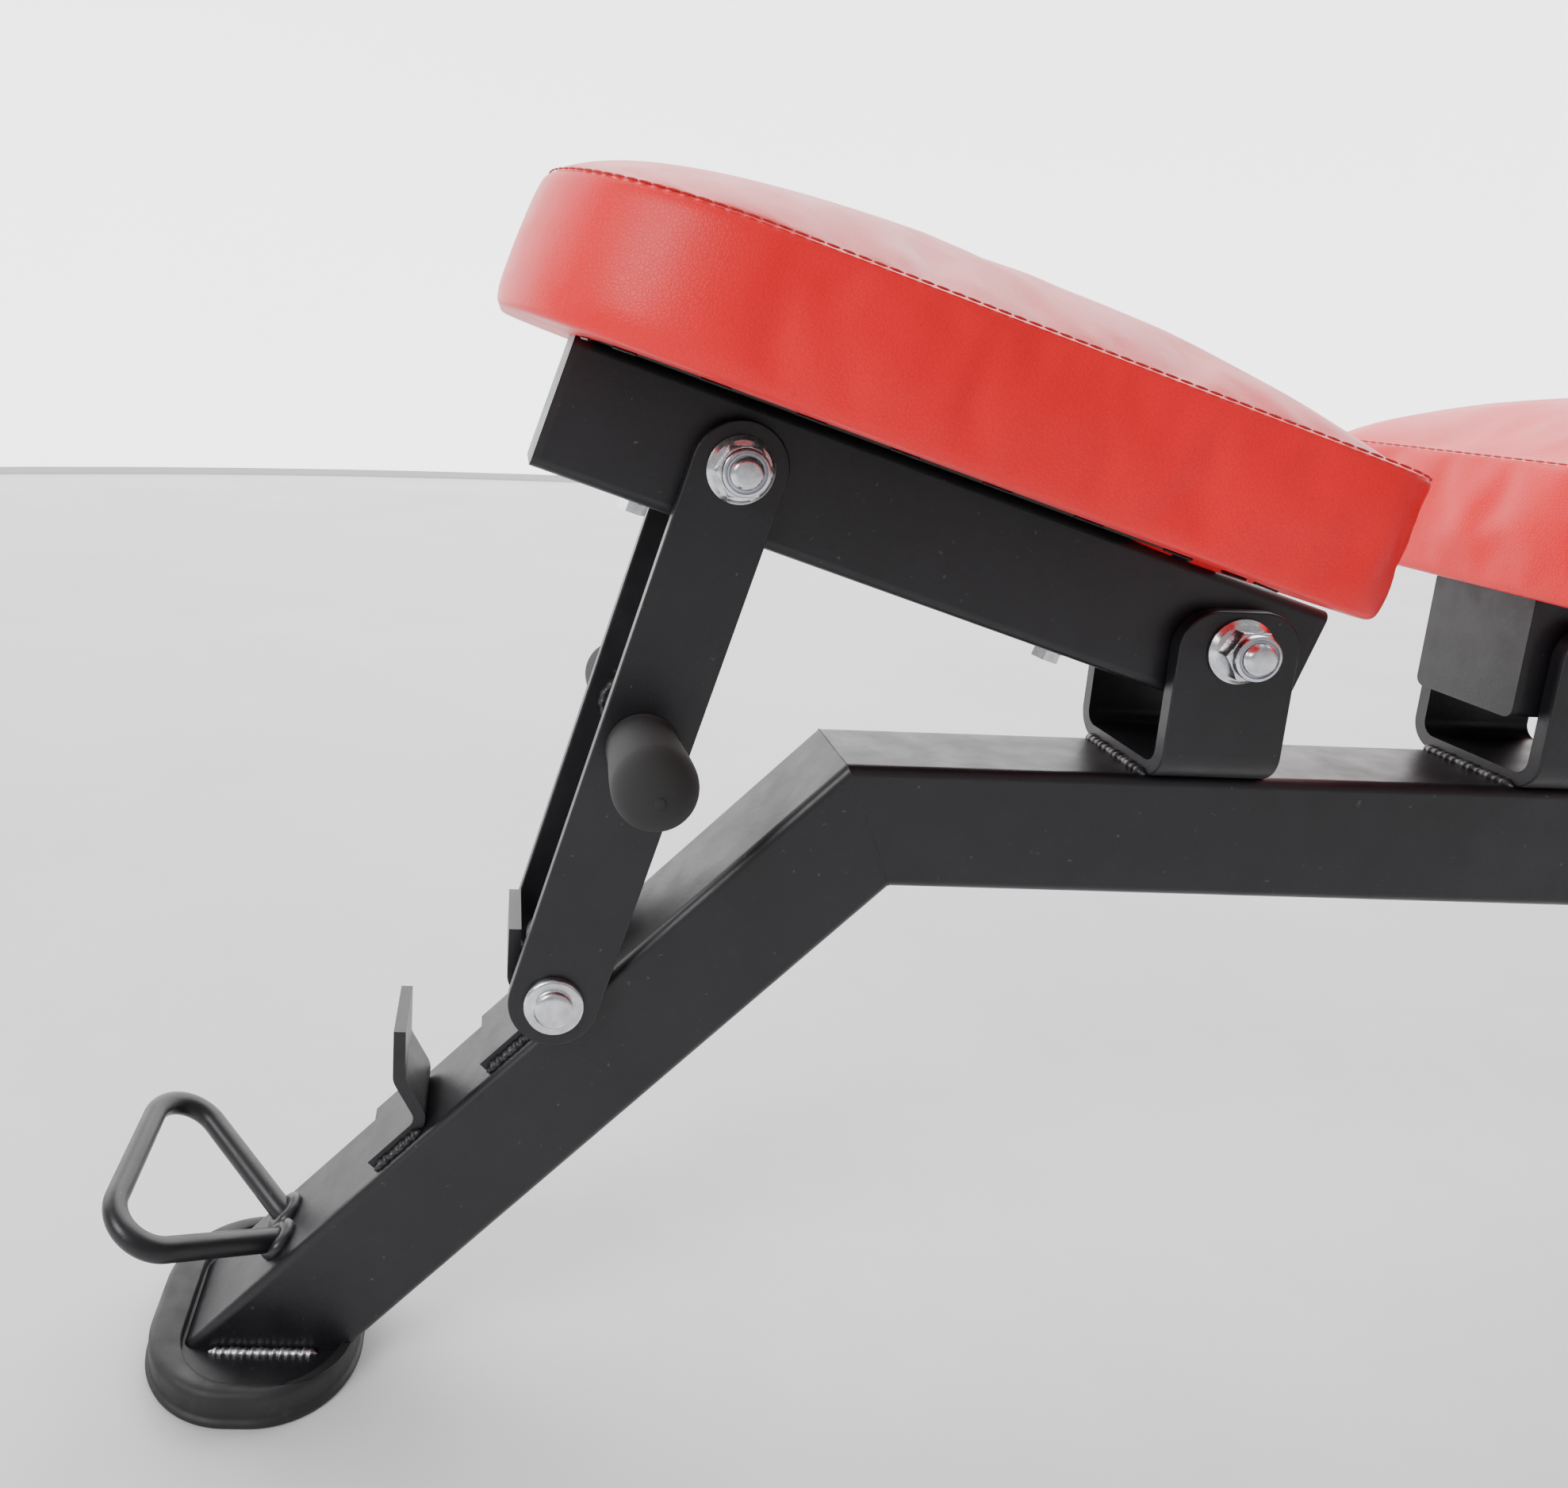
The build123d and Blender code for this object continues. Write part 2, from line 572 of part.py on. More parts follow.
def pad_bolt_set(frame, bolts):
    """Hexagon bolts with washers, up through the tube into the board."""
    with BuildPart() as built:
        with BuildSketch(level_plane(frame, z=-HALF)):
            with Locations(*[(x, 0) for x in bolts]):
                Circle(PAD_WASHER_WIDTH / 2)
        extrude(amount=-PAD_WASHER)
        with BuildSketch(level_plane(frame, z=-HALF - PAD_WASHER)):
            with Locations(*[(x, 0) for x in bolts]):
                RegularPolygon(PAD_BOLT_HEX / 2, 6, major_radius=False)
        extrude(amount=-PAD_BOLT_HEAD)
        with BuildSketch(level_plane(frame, z=-HALF - PAD_WASHER)):
            with Locations(*[(x, 0) for x in bolts]):
                Circle(PAD_BOLT / 2)
        extrude(amount=TUBE + PAD_WASHER + BOARD - PAD_BOLT_SHORT)
    return built


seat_board = pad_board(seat, -SEAT_PAD_FRONT, -SEAT_PAD_REAR, SEAT_PAD_WIDTH, SEAT_PAD_BOLTS)
seat_cushion = pad_cushion(seat, -SEAT_PAD_FRONT, -SEAT_PAD_REAR, SEAT_PAD_WIDTH, SEAT_BAND)
seat_pad_bolt_set = pad_bolt_set(seat, SEAT_PAD_BOLTS)
back_end = BACK_PAD_LENGTH - BACK_PAD_AHEAD
back_board = pad_board(back, -BACK_PAD_AHEAD, back_end, BACK_PAD_WIDTH, BACK_PAD_BOLTS, PAD_FRONT_RADIUS)
back_cushion = pad_cushion(back, -BACK_PAD_AHEAD, back_end, BACK_PAD_WIDTH, BACK_BAND, PAD_FRONT_RADIUS)
back_pad_bolt_set = pad_bolt_set(back, BACK_PAD_BOLTS)


# ---- Struts -----------------------------------------------------------------------------------------
def strut_frame(top, pin):
    """Frame at the strut's top pivot, x along the strut to its pin."""
    run = (pin - top).normalized()
    return Plane(origin=top, x_dir=run, z_dir=run.cross(Vector(0, 1, 0)))


def strut_plates(frame, length, handle_at, side):
    """One flat strut plate with rounded ends: side 1 is +Y, side -1 is -Y."""
    inner = side * FORK_GAP / 2
    with BuildPart() as plate:
        with BuildSketch(side_plane(frame, x=length / 2, y=inner)):
            SlotCenterToCenter(length, STRUT_WIDTH)
            with Locations((-length / 2, 0), (length / 2, 0)):
                Circle(BOLT / 2 + HOLE_PLAY, mode=Mode.SUBTRACT)
            with Locations((handle_at - length / 2, 0)):
                Circle(HANDLE_TUBE / 2, mode=Mode.SUBTRACT)
        extrude(amount=-side * PLATE)
        ends = plate.edges().filter_by(GeomType.CIRCLE).filter_by(lambda e: e.radius > STRUT_WIDTH / 2 - 1)
        sides = plate.edges().filter_by(GeomType.LINE).filter_by(Axis.Y, reverse=True)
        fillet(ends + sides, PLATE_EDGE)
    return plate


def strut_handle(frame, handle_at):
    """Cross tube welded through both plates, carrying a grip at each end."""
    reach = FORK / 2 + GRIP_BORE_DEPTH
    with BuildPart() as handle:
        with BuildSketch(side_plane(frame, x=handle_at, y=reach)):
            Circle(HANDLE_TUBE / 2)
            Circle(HANDLE_TUBE / 2 - HANDLE_WALL, mode=Mode.SUBTRACT)
        extrude(amount=2 * reach)
    return handle


def strut_grips(frame, handle_at):
    """Rubber grips: narrow at the plate, full at the outer end, domed."""
    with BuildPart() as grips:
        for side in (1, -1):
            start = side * (FORK / 2 + SIDE_PLAY)
            dome = GRIP / 2
            profile_plane = Plane(origin=frame.from_local_coords((handle_at, start, 0)), x_dir=frame.x_dir,
                                  z_dir=frame.z_dir if side > 0 else -frame.z_dir)
            with BuildSketch(profile_plane):
                with BuildLine():
                    neck = Line((0, 0), (GRIP_NECK / 2, 0))
                    flank = Spline(neck @ 1, (GRIP / 2, GRIP_LENGTH - dome), tangents=((0, 1), (0, 1)))
                    end = Line((0, GRIP_LENGTH), (0, 0))
                    CenterArc((0, GRIP_LENGTH - dome), dome, 0, 90)
                make_face()
            revolve(axis=Axis(profile_plane.origin, profile_plane.y_dir))
        with BuildSketch(side_plane(frame, x=handle_at, y=FORK / 2 + GRIP_BORE_DEPTH + HOLE_PLAY)):
            Circle(HANDLE_TUBE / 2 + HOLE_PLAY)
        extrude(amount=FORK + 2 * (GRIP_BORE_DEPTH + HOLE_PLAY), mode=Mode.SUBTRACT)
    return grips


def strut_pin(frame, length):
    """Cross pin with a stepped, domed head at each side."""
    with BuildPart() as pin:
        with BuildSketch(side_plane(frame, x=length, y=FORK / 2)):
            Circle(BOLT / 2)
        extrude(amount=FORK)
        for side in (1, -1):
            with BuildSketch(side_plane(frame, x=length, y=side * FORK / 2)):
                Circle(PIN_HEAD / 2)
            extrude(amount=-side * PIN_RIM)
            with BuildSketch(side_plane(frame, x=length, y=side * FORK / 2)):
                Circle(PIN_BOSS / 2)
            extrude(amount=-side * PIN_HEAD_HEIGHT)
        rims = pin.edges().filter_by(GeomType.CIRCLE).filter_by(lambda e: abs(e.center().Y) > FORK / 2 + 1)
        fillet(rims.filter_by(lambda e: e.radius > PIN_BOSS / 2), PIN_ROUND)
    return pin


def strut_spacer(frame, length):
    """Steel spacer clamped between the plates by the pin; it rests on the frame against a hook."""
    with BuildPart() as spacer:
        with BuildSketch(side_plane(frame, x=length, y=FORK_GAP / 2)):
            Circle(SPACER / 2)
            Circle(BOLT / 2 + HOLE_PLAY, mode=Mode.SUBTRACT)
        extrude(amount=FORK_GAP)
        rims = spacer.edges().filter_by(GeomType.CIRCLE).filter_by(lambda e: e.radius > SPACER / 2 - 1)
        chamfer(rims, SPACER_CHAMFER)
    return spacer


seat_strut_top = seat.from_local_coords((-SEAT_STRUT_REACH, 0, 0))
seat_pin_x, seat_pin_z = seat_pin(SEAT_TILT)
seat_strut = strut_frame(seat_strut_top, Vector(seat_pin_x, 0, seat_pin_z))
back_strut_top = back.from_local_coords((BACK_STRUT_REACH, 0, 0))
back_pin_x, back_pin_z = back_pin(0.0)
back_strut = strut_frame(back_strut_top, Vector(back_pin_x, 0, back_pin_z))
# The backrest strut's handle lies just under the lowered tube, so its place along the strut follows the tube
handle_drop = HALF + HANDLE_TUBE_GAP + HANDLE_TUBE / 2
back_handle_at = BACK_STRUT_LENGTH * handle_drop / (pivot_z - back_pin_z)
STRUTS = {
    "seat": (seat_strut, SEAT_STRUT_LENGTH, SEAT_STRUT_LENGTH / 2),
    "back": (back_strut, BACK_STRUT_LENGTH, back_handle_at),
}

# ---- Rear foot ---------------------------------------------------------------------------------------
with BuildPart() as rear_foot_plate:
    with BuildSketch(Plane.XY.offset(cross_top)):
        with Locations((cross_x, 0)):
            RectangleRounded(REAR_PLATE_LENGTH, REAR_PLATE_WIDTH, REAR_PLATE_CORNER)
            with GridLocations(0, REAR_BOLT_SPACING, 1, 2):
                Circle(REAR_BOLT / 2 + HOLE_PLAY, mode=Mode.SUBTRACT)
    extrude(amount=REAR_PLATE)

with BuildPart() as rear_cross_tube:
    with BuildSketch(Plane(origin=(cross_x, CROSS_LENGTH / 2, cross_bottom + HALF), x_dir=(1, 0, 0),
                           z_dir=(0, -1, 0))):
        tube_section()
    extrude(amount=CROSS_LENGTH)
    with BuildSketch(Plane.XY):
        with Locations((cross_x, 0)):
            with GridLocations(0, REAR_BOLT_SPACING, 1, 2):
                Circle(REAR_BOLT / 2 + HOLE_PLAY)
    extrude(amount=2 * TUBE, mode=Mode.SUBTRACT)

with BuildPart() as rear_foot_bolts:
    with BuildSketch(Plane.XY.offset(rear_seat_z)):
        with Locations((cross_x, 0)):
            with GridLocations(0, REAR_BOLT_SPACING, 1, 2):
                Circle(REAR_BOLT)
    extrude(amount=REAR_HEAD, taper=REAR_HEAD_TAPER)
    with BuildSketch(Plane.XY.offset(rear_seat_z)):
        with Locations((cross_x, 0)):
            with GridLocations(0, REAR_BOLT_SPACING, 1, 2):
                Circle(REAR_BOLT / 2)
    extrude(amount=-(REAR_PLATE + TUBE + REAR_NUT))

with BuildPart() as rear_foot_nuts:
    with BuildSketch(Plane.XY.offset(cross_bottom)):
        with Locations((cross_x, 0)):
            with GridLocations(0, REAR_BOLT_SPACING, 1, 2):
                RegularPolygon(REAR_BOLT_HEX / 2, 6, major_radius=False)
                Circle(REAR_BOLT / 2 + HOLE_PLAY, mode=Mode.SUBTRACT)
    extrude(amount=-REAR_NUT)

shoe_height = SHOE_SOLE + TUBE + SHOE_WALL
with BuildPart() as rear_shoes:
    for side in (1, -1):
        end = Plane(origin=(cross_x, side * (CROSS_LENGTH / 2 + SHOE_WALL), shoe_height / 2), x_dir=(1, 0, 0),
                    z_dir=(0, -side, 0))
        with BuildSketch(end):
            RectangleRounded(TUBE + 2 * SHOE_WALL, shoe_height, TUBE_CORNER + SHOE_WALL)
        extrude(amount=SHOE_LENGTH)
    for side in (1, -1):
        tube_end = Plane(origin=(cross_x, side * CROSS_LENGTH / 2, cross_bottom + HALF), x_dir=(1, 0, 0),
                         z_dir=(0, -side, 0))
        with BuildSketch(tube_end):
            RectangleRounded(TUBE, TUBE, TUBE_CORNER)
        extrude(amount=SHOE_LENGTH, mode=Mode.SUBTRACT)

# ---- Wheels --------------------------------------------------------------------------------------------
wheel_z = WHEEL / 2 + WHEEL_LIFT
wheel_x = cross_x + HALF + WHEEL_BEHIND


def wheel_ear(side):
    """Plate behind the cross tube that carries one wheel's axle."""
    inner = side * (WHEEL_Y - WHEEL_WIDTH / 2 - EAR_PLAY)
    ear_z = cross_bottom + HALF
    with BuildPart() as ear:
        with BuildSketch(Plane(origin=(0, inner, 0), x_dir=(1, 0, 0), z_dir=(0, -1, 0))):
            with BuildLine():
                Polyline((cross_x + HALF, ear_z - EAR_HEIGHT / 2), (cross_x + HALF, ear_z + EAR_HEIGHT / 2),
                         (wheel_x, wheel_z + HUB_BOSS / 2 + EAR), (wheel_x, wheel_z - HUB_BOSS / 2 - EAR),
                         close=True)
            make_face()
            with Locations((wheel_x, wheel_z)):
                Circle(HUB_BOSS / 2 + EAR)
                Circle(AXLE / 2 + HOLE_PLAY, mode=Mode.SUBTRACT)
        extrude(amount=side * EAR)
    return ear


def wheel_hub(side):
    """Moulded wheel centre with a web and a bored boss."""
    middle = Plane(origin=(wheel_x, side * WHEEL_Y, wheel_z), x_dir=(1, 0, 0), z_dir=(0, -1, 0))
    rim = WHEEL / 2 - TYRE_DEPTH
    with BuildPart() as hub:
        with BuildSketch(middle):
            Circle(rim)
            Circle(rim - HUB_RIM, mode=Mode.SUBTRACT)
        extrude(amount=WHEEL_WIDTH / 2 - HUB_INSET, both=True)
        with BuildSketch(middle):
            Circle(rim - HUB_RIM + HUB_LAP)
        extrude(amount=HUB_WEB / 2, both=True)
        with BuildSketch(middle):
            Circle(HUB_BOSS / 2)
        extrude(amount=WHEEL_WIDTH / 2, both=True)
        with BuildSketch(middle):
            Circle(AXLE / 2 + RUNNING_PLAY)
        extrude(amount=WHEEL_WIDTH, both=True, mode=Mode.SUBTRACT)
    return hub


def wheel_tyre(side):
    """Solid tyre with rounded shoulders, pressed on the hub."""
    middle = Plane(origin=(wheel_x, side * WHEEL_Y, wheel_z), x_dir=(1, 0, 0), z_dir=(0, -1, 0))
    with BuildPart() as tyre:
        with BuildSketch(middle):
            Circle(WHEEL / 2)
            Circle(WHEEL / 2 - TYRE_DEPTH, mode=Mode.SUBTRACT)
        extrude(amount=WHEEL_WIDTH / 2, both=True)
        fillet(tyre.edges().filter_by(GeomType.CIRCLE).filter_by(lambda e: e.radius > WHEEL / 2 - 1), TYRE_ROUND)
    return tyre


def axle_parts(side):
    """Axle bolt with its head outside the wheel, and its nut behind the ear."""
    head_y = side * (WHEEL_Y + WHEEL_WIDTH / 2 + EAR_PLAY)
    nut_y = side * (WHEEL_Y - WHEEL_WIDTH / 2 - EAR_PLAY - EAR)
    head_plane = Plane(origin=(wheel_x, head_y, wheel_z), x_dir=(1, 0, 0), z_dir=(0, side, 0))
    nut_plane = Plane(origin=(wheel_x, nut_y, wheel_z), x_dir=(1, 0, 0), z_dir=(0, -side, 0))
    with BuildPart() as bolt:
        with BuildSketch(head_plane):
            Circle(AXLE)
        extrude(amount=AXLE_HEAD, taper=FLANGE_TAPER)
        with BuildSketch(head_plane):
            Circle(AXLE / 2)
        extrude(amount=-(abs(head_y - nut_y) + REAR_NUT + AXLE_END))
    with BuildPart() as nut:
        with BuildSketch(nut_plane):
            RegularPolygon(REAR_BOLT_HEX / 2, 6, major_radius=False)
            Circle(AXLE / 2 + HOLE_PLAY, mode=Mode.SUBTRACT)
        extrude(amount=REAR_NUT)
    return bolt.part, nut.part


SIDES = {"left": 1, "right": -1}
ear_set = [wheel_ear(side).part for side in SIDES.values()]
with BuildPart() as wheel_ears:
    add(ear_set)

axle_pairs = [axle_parts(side) for side in SIDES.values()]
with BuildPart() as axle_bolts:
    for bolt_part, _ in axle_pairs:
        add(bolt_part)
with BuildPart() as axle_nuts:
    for _, nut_part in axle_pairs:
        add(nut_part)

# ---- Write every piece ------------------------------------------------------------------------------
os.makedirs(OUT, exist_ok=True)
pieces = {
    "main_beam": main_beam, "front_leg": front_leg, "rear_leg": rear_leg,
    "front_foot_plate": front_foot_plate, "front_foot_boot": front_foot_boot, "lift_handle": lift_handle,
    "seat_hooks": seat_hooks, "back_hooks": back_hooks,
    "seat_bracket": seat_bracket, "back_bracket": back_bracket,
    "seat_pivot_bolt": seat_pivot_bolt, "seat_pivot_nut": seat_pivot_nut,
    "back_pivot_bolt": back_pivot_bolt, "back_pivot_nut": back_pivot_nut,
    "rear_foot_plate": rear_foot_plate, "rear_cross_tube": rear_cross_tube,
    "rear_foot_bolts": rear_foot_bolts, "rear_foot_nuts": rear_foot_nuts, "rear_shoes": rear_shoes,
    "wheel_ears": wheel_ears, "axle_bolts": axle_bolts, "axle_nuts": axle_nuts,
    "seat_tube": seat_tube, "seat_sleeves": seat_sleeves, "seat_bushes": seat_bushes,
    "seat_tube_caps": seat_tube_caps, "seat_board": seat_board, "seat_cushion": seat_cushion,
    "seat_pad_bolts": seat_pad_bolt_set,
    "back_tube": back_tube, "back_sleeves": back_sleeves, "back_bushes": back_bushes,
    "back_tube_caps": back_tube_caps, "back_board": back_board, "back_cushion": back_cushion,
    "back_pad_bolts": back_pad_bolt_set,
}
for name, (frame, length, handle_at) in STRUTS.items():
    top = frame.origin
    pieces[f"{name}_strut_left_plate"] = strut_plates(frame, length, handle_at, 1)
    pieces[f"{name}_strut_right_plate"] = strut_plates(frame, length, handle_at, -1)
    pieces[f"{name}_strut_handle"] = strut_handle(frame, handle_at)
    pieces[f"{name}_strut_grips"] = strut_grips(frame, handle_at)
    pieces[f"{name}_strut_pin"] = strut_pin(frame, length)
    pieces[f"{name}_strut_spacer"] = strut_spacer(frame, length)
    pieces[f"{name}_strut_bolt"] = cross_bolt(top.X, top.Z)
    pieces[f"{name}_strut_nut"] = cross_nut(top.X, top.Z)
for word, side in SIDES.items():
    pieces[f"wheel_{word}_hub"] = wheel_hub(side)
    pieces[f"wheel_{word}_tyre"] = wheel_tyre(side)
for name, piece in pieces.items():
    save(piece, name)
print(len(pieces), "nodes")
for name, value in (("seat pivot", (seat_pivot_x, pivot_z)), ("back pivot", (back_pivot_x, pivot_z)),
                    ("seat strut top", (seat_strut_top.X, seat_strut_top.Z)),
                    ("seat pin", (seat_pin_x, seat_pin_z)),
                    ("back strut top", (back_strut_top.X, back_strut_top.Z)),
                    ("back pin", (back_pin_x, back_pin_z)),
                    ("wheel", (wheel_x, wheel_z)), ("cross tube", (cross_x, cross_bottom + HALF))):
    print(name, round(value[0], 3), round(value[1], 3))
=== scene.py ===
"""Adjustable weight bench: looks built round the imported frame, in metres."""
import json
import logging
import math
from collections.abc import Callable
from dataclasses import dataclass
from enum import Enum

import bmesh
import bpy
import numpy as np
from mathutils import Matrix


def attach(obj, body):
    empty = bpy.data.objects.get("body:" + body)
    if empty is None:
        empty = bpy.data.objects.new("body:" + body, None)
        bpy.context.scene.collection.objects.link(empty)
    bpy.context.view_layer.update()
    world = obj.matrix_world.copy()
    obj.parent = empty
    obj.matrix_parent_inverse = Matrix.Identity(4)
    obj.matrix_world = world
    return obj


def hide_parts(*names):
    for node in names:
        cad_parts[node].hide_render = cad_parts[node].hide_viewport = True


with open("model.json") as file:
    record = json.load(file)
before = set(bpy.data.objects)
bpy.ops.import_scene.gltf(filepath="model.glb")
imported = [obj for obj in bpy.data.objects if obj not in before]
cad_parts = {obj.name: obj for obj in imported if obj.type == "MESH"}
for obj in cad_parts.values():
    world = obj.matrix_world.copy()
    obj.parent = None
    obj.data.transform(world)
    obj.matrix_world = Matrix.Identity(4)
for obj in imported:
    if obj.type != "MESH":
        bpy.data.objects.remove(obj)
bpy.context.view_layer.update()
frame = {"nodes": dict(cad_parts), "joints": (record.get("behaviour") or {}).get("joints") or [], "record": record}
MM = 0.001
TURN = 2 * math.pi
ACROSS = np.array([0.0, 1.0, 0.0])
UP = np.array([0.0, 0.0, 1.0])
ALONG = np.array([1.0, 0.0, 0.0])
LOG = logging.getLogger("bench")


# ---------------------------------------------------------------------------------------------
# Surfaces as arrays
# ---------------------------------------------------------------------------------------------
def angles(count: int) -> np.ndarray:
    """Evenly spaced angles round a turn."""
    return np.arange(count) / count * TURN


def unit(vectors: np.ndarray) -> np.ndarray:
    """Vectors brought to length one."""
    return vectors / np.linalg.norm(vectors, axis=-1, keepdims=True)


def lifted(plan: np.ndarray, height: float) -> np.ndarray:
    """Plan points, all at one height."""
    return np.concatenate([plan, np.full((*plan.shape[:-1], 1), height)], -1)


def turned(radius: np.ndarray, angle: np.ndarray, height: np.ndarray) -> np.ndarray:
    """Points about z from their radii, angles and heights."""
    return np.stack(np.broadcast_arrays(radius * np.cos(angle), radius * np.sin(angle), height), -1)


def linked(name: str, data: bpy.types.ID) -> bpy.types.Object:
    """A new object with this data, in the scene."""
    made = bpy.data.objects.new(name, data)
    bpy.context.scene.collection.objects.link(made)
    return made


def mesh_points(mesh: bpy.types.Mesh) -> np.ndarray:
    """A mesh's points."""
    flat = np.empty(len(mesh.vertices) * 3, np.float32)
    mesh.vertices.foreach_get("co", flat)
    return flat.reshape(-1, 3).astype(float)


@dataclass(frozen=True)
class Place:
    """A right-handed set of axes at a point.

    Args:
        origin: The point.
        x: Unit direction of the first axis.
        z: Unit direction of the third axis.
    """

    origin: np.ndarray
    x: np.ndarray
    z: np.ndarray

    @property
    def y(self) -> np.ndarray:
        """The second axis, which is the third crossed with the first."""
        return np.cross(self.z, self.x)

    def out(self, points: np.ndarray) -> np.ndarray:
        """Carries points from these axes to the bench's."""
        return self.origin + points @ np.stack([self.x, self.y, self.z])

    def into(self, points: np.ndarray) -> np.ndarray:
        """Carries points from the bench's axes to these."""
        return (points - self.origin) @ np.stack([self.x, self.y, self.z]).T


@dataclass(frozen=True)
class Shell:
    """A surface held as arrays of points, four-sided faces and three-sided faces."""

    points: np.ndarray
    quads: np.ndarray
    tris: np.ndarray

    def placed(self, place: Place) -> "Shell":
        """The shell carried from a place's axes to the bench's."""
        return Shell(place.out(self.points), self.quads, self.tris)

    def piece(self, name: str, sharp: float = 38.0) -> bpy.types.Object:
        """Makes the shell a mesh object at the origin, smooth except at sharp corners.

        Args:
            name: The piece's name.
            sharp: Corners over this many degrees stay crisp.

        Returns:
            The new object.
        """
        mesh = bpy.data.meshes.new(name)
        mesh.from_pydata(self.points.tolist(), [], self.quads.tolist() + self.tris.tolist())
        work = bmesh.new()
        work.from_mesh(mesh)
        bmesh.ops.recalc_face_normals(work, faces=work.faces)
        work.to_mesh(mesh)
        work.free()
        mesh.shade_smooth()
        mesh.set_sharp_from_angle(angle=math.radians(sharp))
        return linked(name, mesh)


def joined(shells: list[Shell]) -> Shell:
    """Several shells as one, with each shell's faces counted from its own points."""
    starts = np.cumsum([0] + [len(s.points) for s in shells[:-1]])
    return Shell(
        np.concatenate([s.points for s in shells]),
        np.concatenate([s.quads + n for s, n in zip(shells, starts)]),
        np.concatenate([s.tris + n for s, n in zip(shells, starts)]),
    )


def repeated(shell: Shell, centres: np.ndarray, run: np.ndarray) -> Shell:
    """Copies of a shell.

    Args:
        shell: The one that is copied.
        centres: Where each copy goes.
        run: Unit direction of each copy's x; its z stays up.

    Returns:
        All the copies as one shell.
    """
    axes = np.stack([run, np.cross(UP, run), np.broadcast_to(UP, run.shape)], 1)
    points = (centres[:, None] + np.einsum("pi,kij->kpj", shell.points, axes)).reshape(-1, 3)
    step = (np.arange(len(centres)) * len(shell.points))[:, None, None]
    return Shell(points, (shell.quads + step).reshape(-1, 4), (shell.tris + step).reshape(-1, 3))


def sheet_quads(grid: np.ndarray) -> np.ndarray:
    """Faces of a sheet whose point numbers stand in rows."""
    return np.stack([grid[:-1, :-1], grid[:-1, 1:], grid[1:, 1:], grid[1:, :-1]], -1).reshape(-1, 4)


def sheet_edge(grid: np.ndarray) -> np.ndarray:
    """Point numbers once round the edge of such a sheet."""
    return np.concatenate([grid[0, :-1], grid[:-1, -1], grid[-1, :0:-1], grid[:0:-1, 0]])


def band_quads(rows: np.ndarray) -> np.ndarray:
    """Faces between successive closed rows of point numbers."""
    low, high = rows[:-1], rows[1:]
    return np.stack([low, np.roll(low, -1, 1), np.roll(high, -1, 1), high], -1).reshape(-1, 4)


def ring_shell(rings: np.ndarray, endless: bool = False) -> Shell:
    """Surface through closed rings of points.

    Args:
        rings: Points, as (ring, place round the ring, 3).
        endless: True joins the last ring to the first; otherwise a pole closes each end.

    Returns:
        The closed shell.
    """
    count, around, _ = rings.shape
    index = np.arange(count * around).reshape(count, around)
    points = rings.reshape(-1, 3)
    if endless:
        return Shell(points, band_quads(np.vstack([index, index[:1]])), np.zeros((0, 3), int))
    south = np.full(around, count * around)
    north = south + 1
    poles = np.stack([rings[0].mean(0), rings[-1].mean(0)])
    first = np.stack([np.roll(index[0], -1), index[0], south], -1)
    last = np.stack([index[-1], np.roll(index[-1], -1), north], -1)
    return Shell(np.vstack([points, poles]), band_quads(index), np.vstack([first, last]))


def lathe(profile: np.ndarray, around: int = 48, limit: np.ndarray | None = None) -> Shell:
    """Turned surface about z: each (height, radius) row is a ring, cut down to the limit where given.

    Args:
        profile: Rows of height and radius.
        around: Points round each ring.
        limit: Largest radius at each angle, or at each height and angle.

    Returns:
        The closed shell.
    """
    radius = np.repeat(profile[:, 1:2], around, 1)
    if limit is not None:
        radius = np.minimum(radius, limit)
    return ring_shell(turned(radius, angles(around), profile[:, 0:1]))


def hexagon(flats: float, around: int) -> np.ndarray:
    """Radius of a hexagon at each angle: half its flats over the cosine from a flat's middle."""
    return flats / 2 / np.cos(np.mod(angles(around), TURN / 6) - TURN / 12)


def pipe(path: np.ndarray, radius: np.ndarray, side: np.ndarray, around: int = 16,
         endless: bool = False) -> Shell:
    """Tube along a path: at each point a circle square to the path.

    Args:
        path: Points of the centreline.
        radius: One radius per point, or one per point and angle.
        side: A direction never along the path, from which each circle's angle is counted.
        around: Points round each circle.
        endless: True where the path ends where it starts.

    Returns:
        The closed shell.
    """
    run = unit(np.roll(path, -1, 0) - np.roll(path, 1, 0) if endless else np.gradient(path, axis=0))
    first = unit(np.cross(run, side))
    second = np.cross(run, first)
    angle = angles(around)
    radius = np.broadcast_to(np.asarray(radius).reshape(len(path), -1), (len(path), around))
    rings = path[:, None] + radius[..., None] * (
        np.cos(angle)[None, :, None] * first[:, None] + np.sin(angle)[None, :, None] * second[:, None]
    )
    return ring_shell(rings, endless)


def line_points(start: np.ndarray, end: np.ndarray, count: int) -> np.ndarray:
    """Evenly spaced points from one point to another."""
    return np.linspace(np.asarray(start, float), np.asarray(end, float), count)


def lengths_along(path: np.ndarray) -> np.ndarray:
    """The length of a path up to each of its points."""
    return np.concatenate([[0.0], np.cumsum(np.linalg.norm(np.diff(path, axis=0), axis=1))])


def resampled(track: np.ndarray, share: np.ndarray) -> np.ndarray:
    """Plan points at these shares of a track's length."""
    length = lengths_along(track)
    at = share * length[-1]
    return np.stack([np.interp(at, length, track[:, i]) for i in (0, 1)], -1)


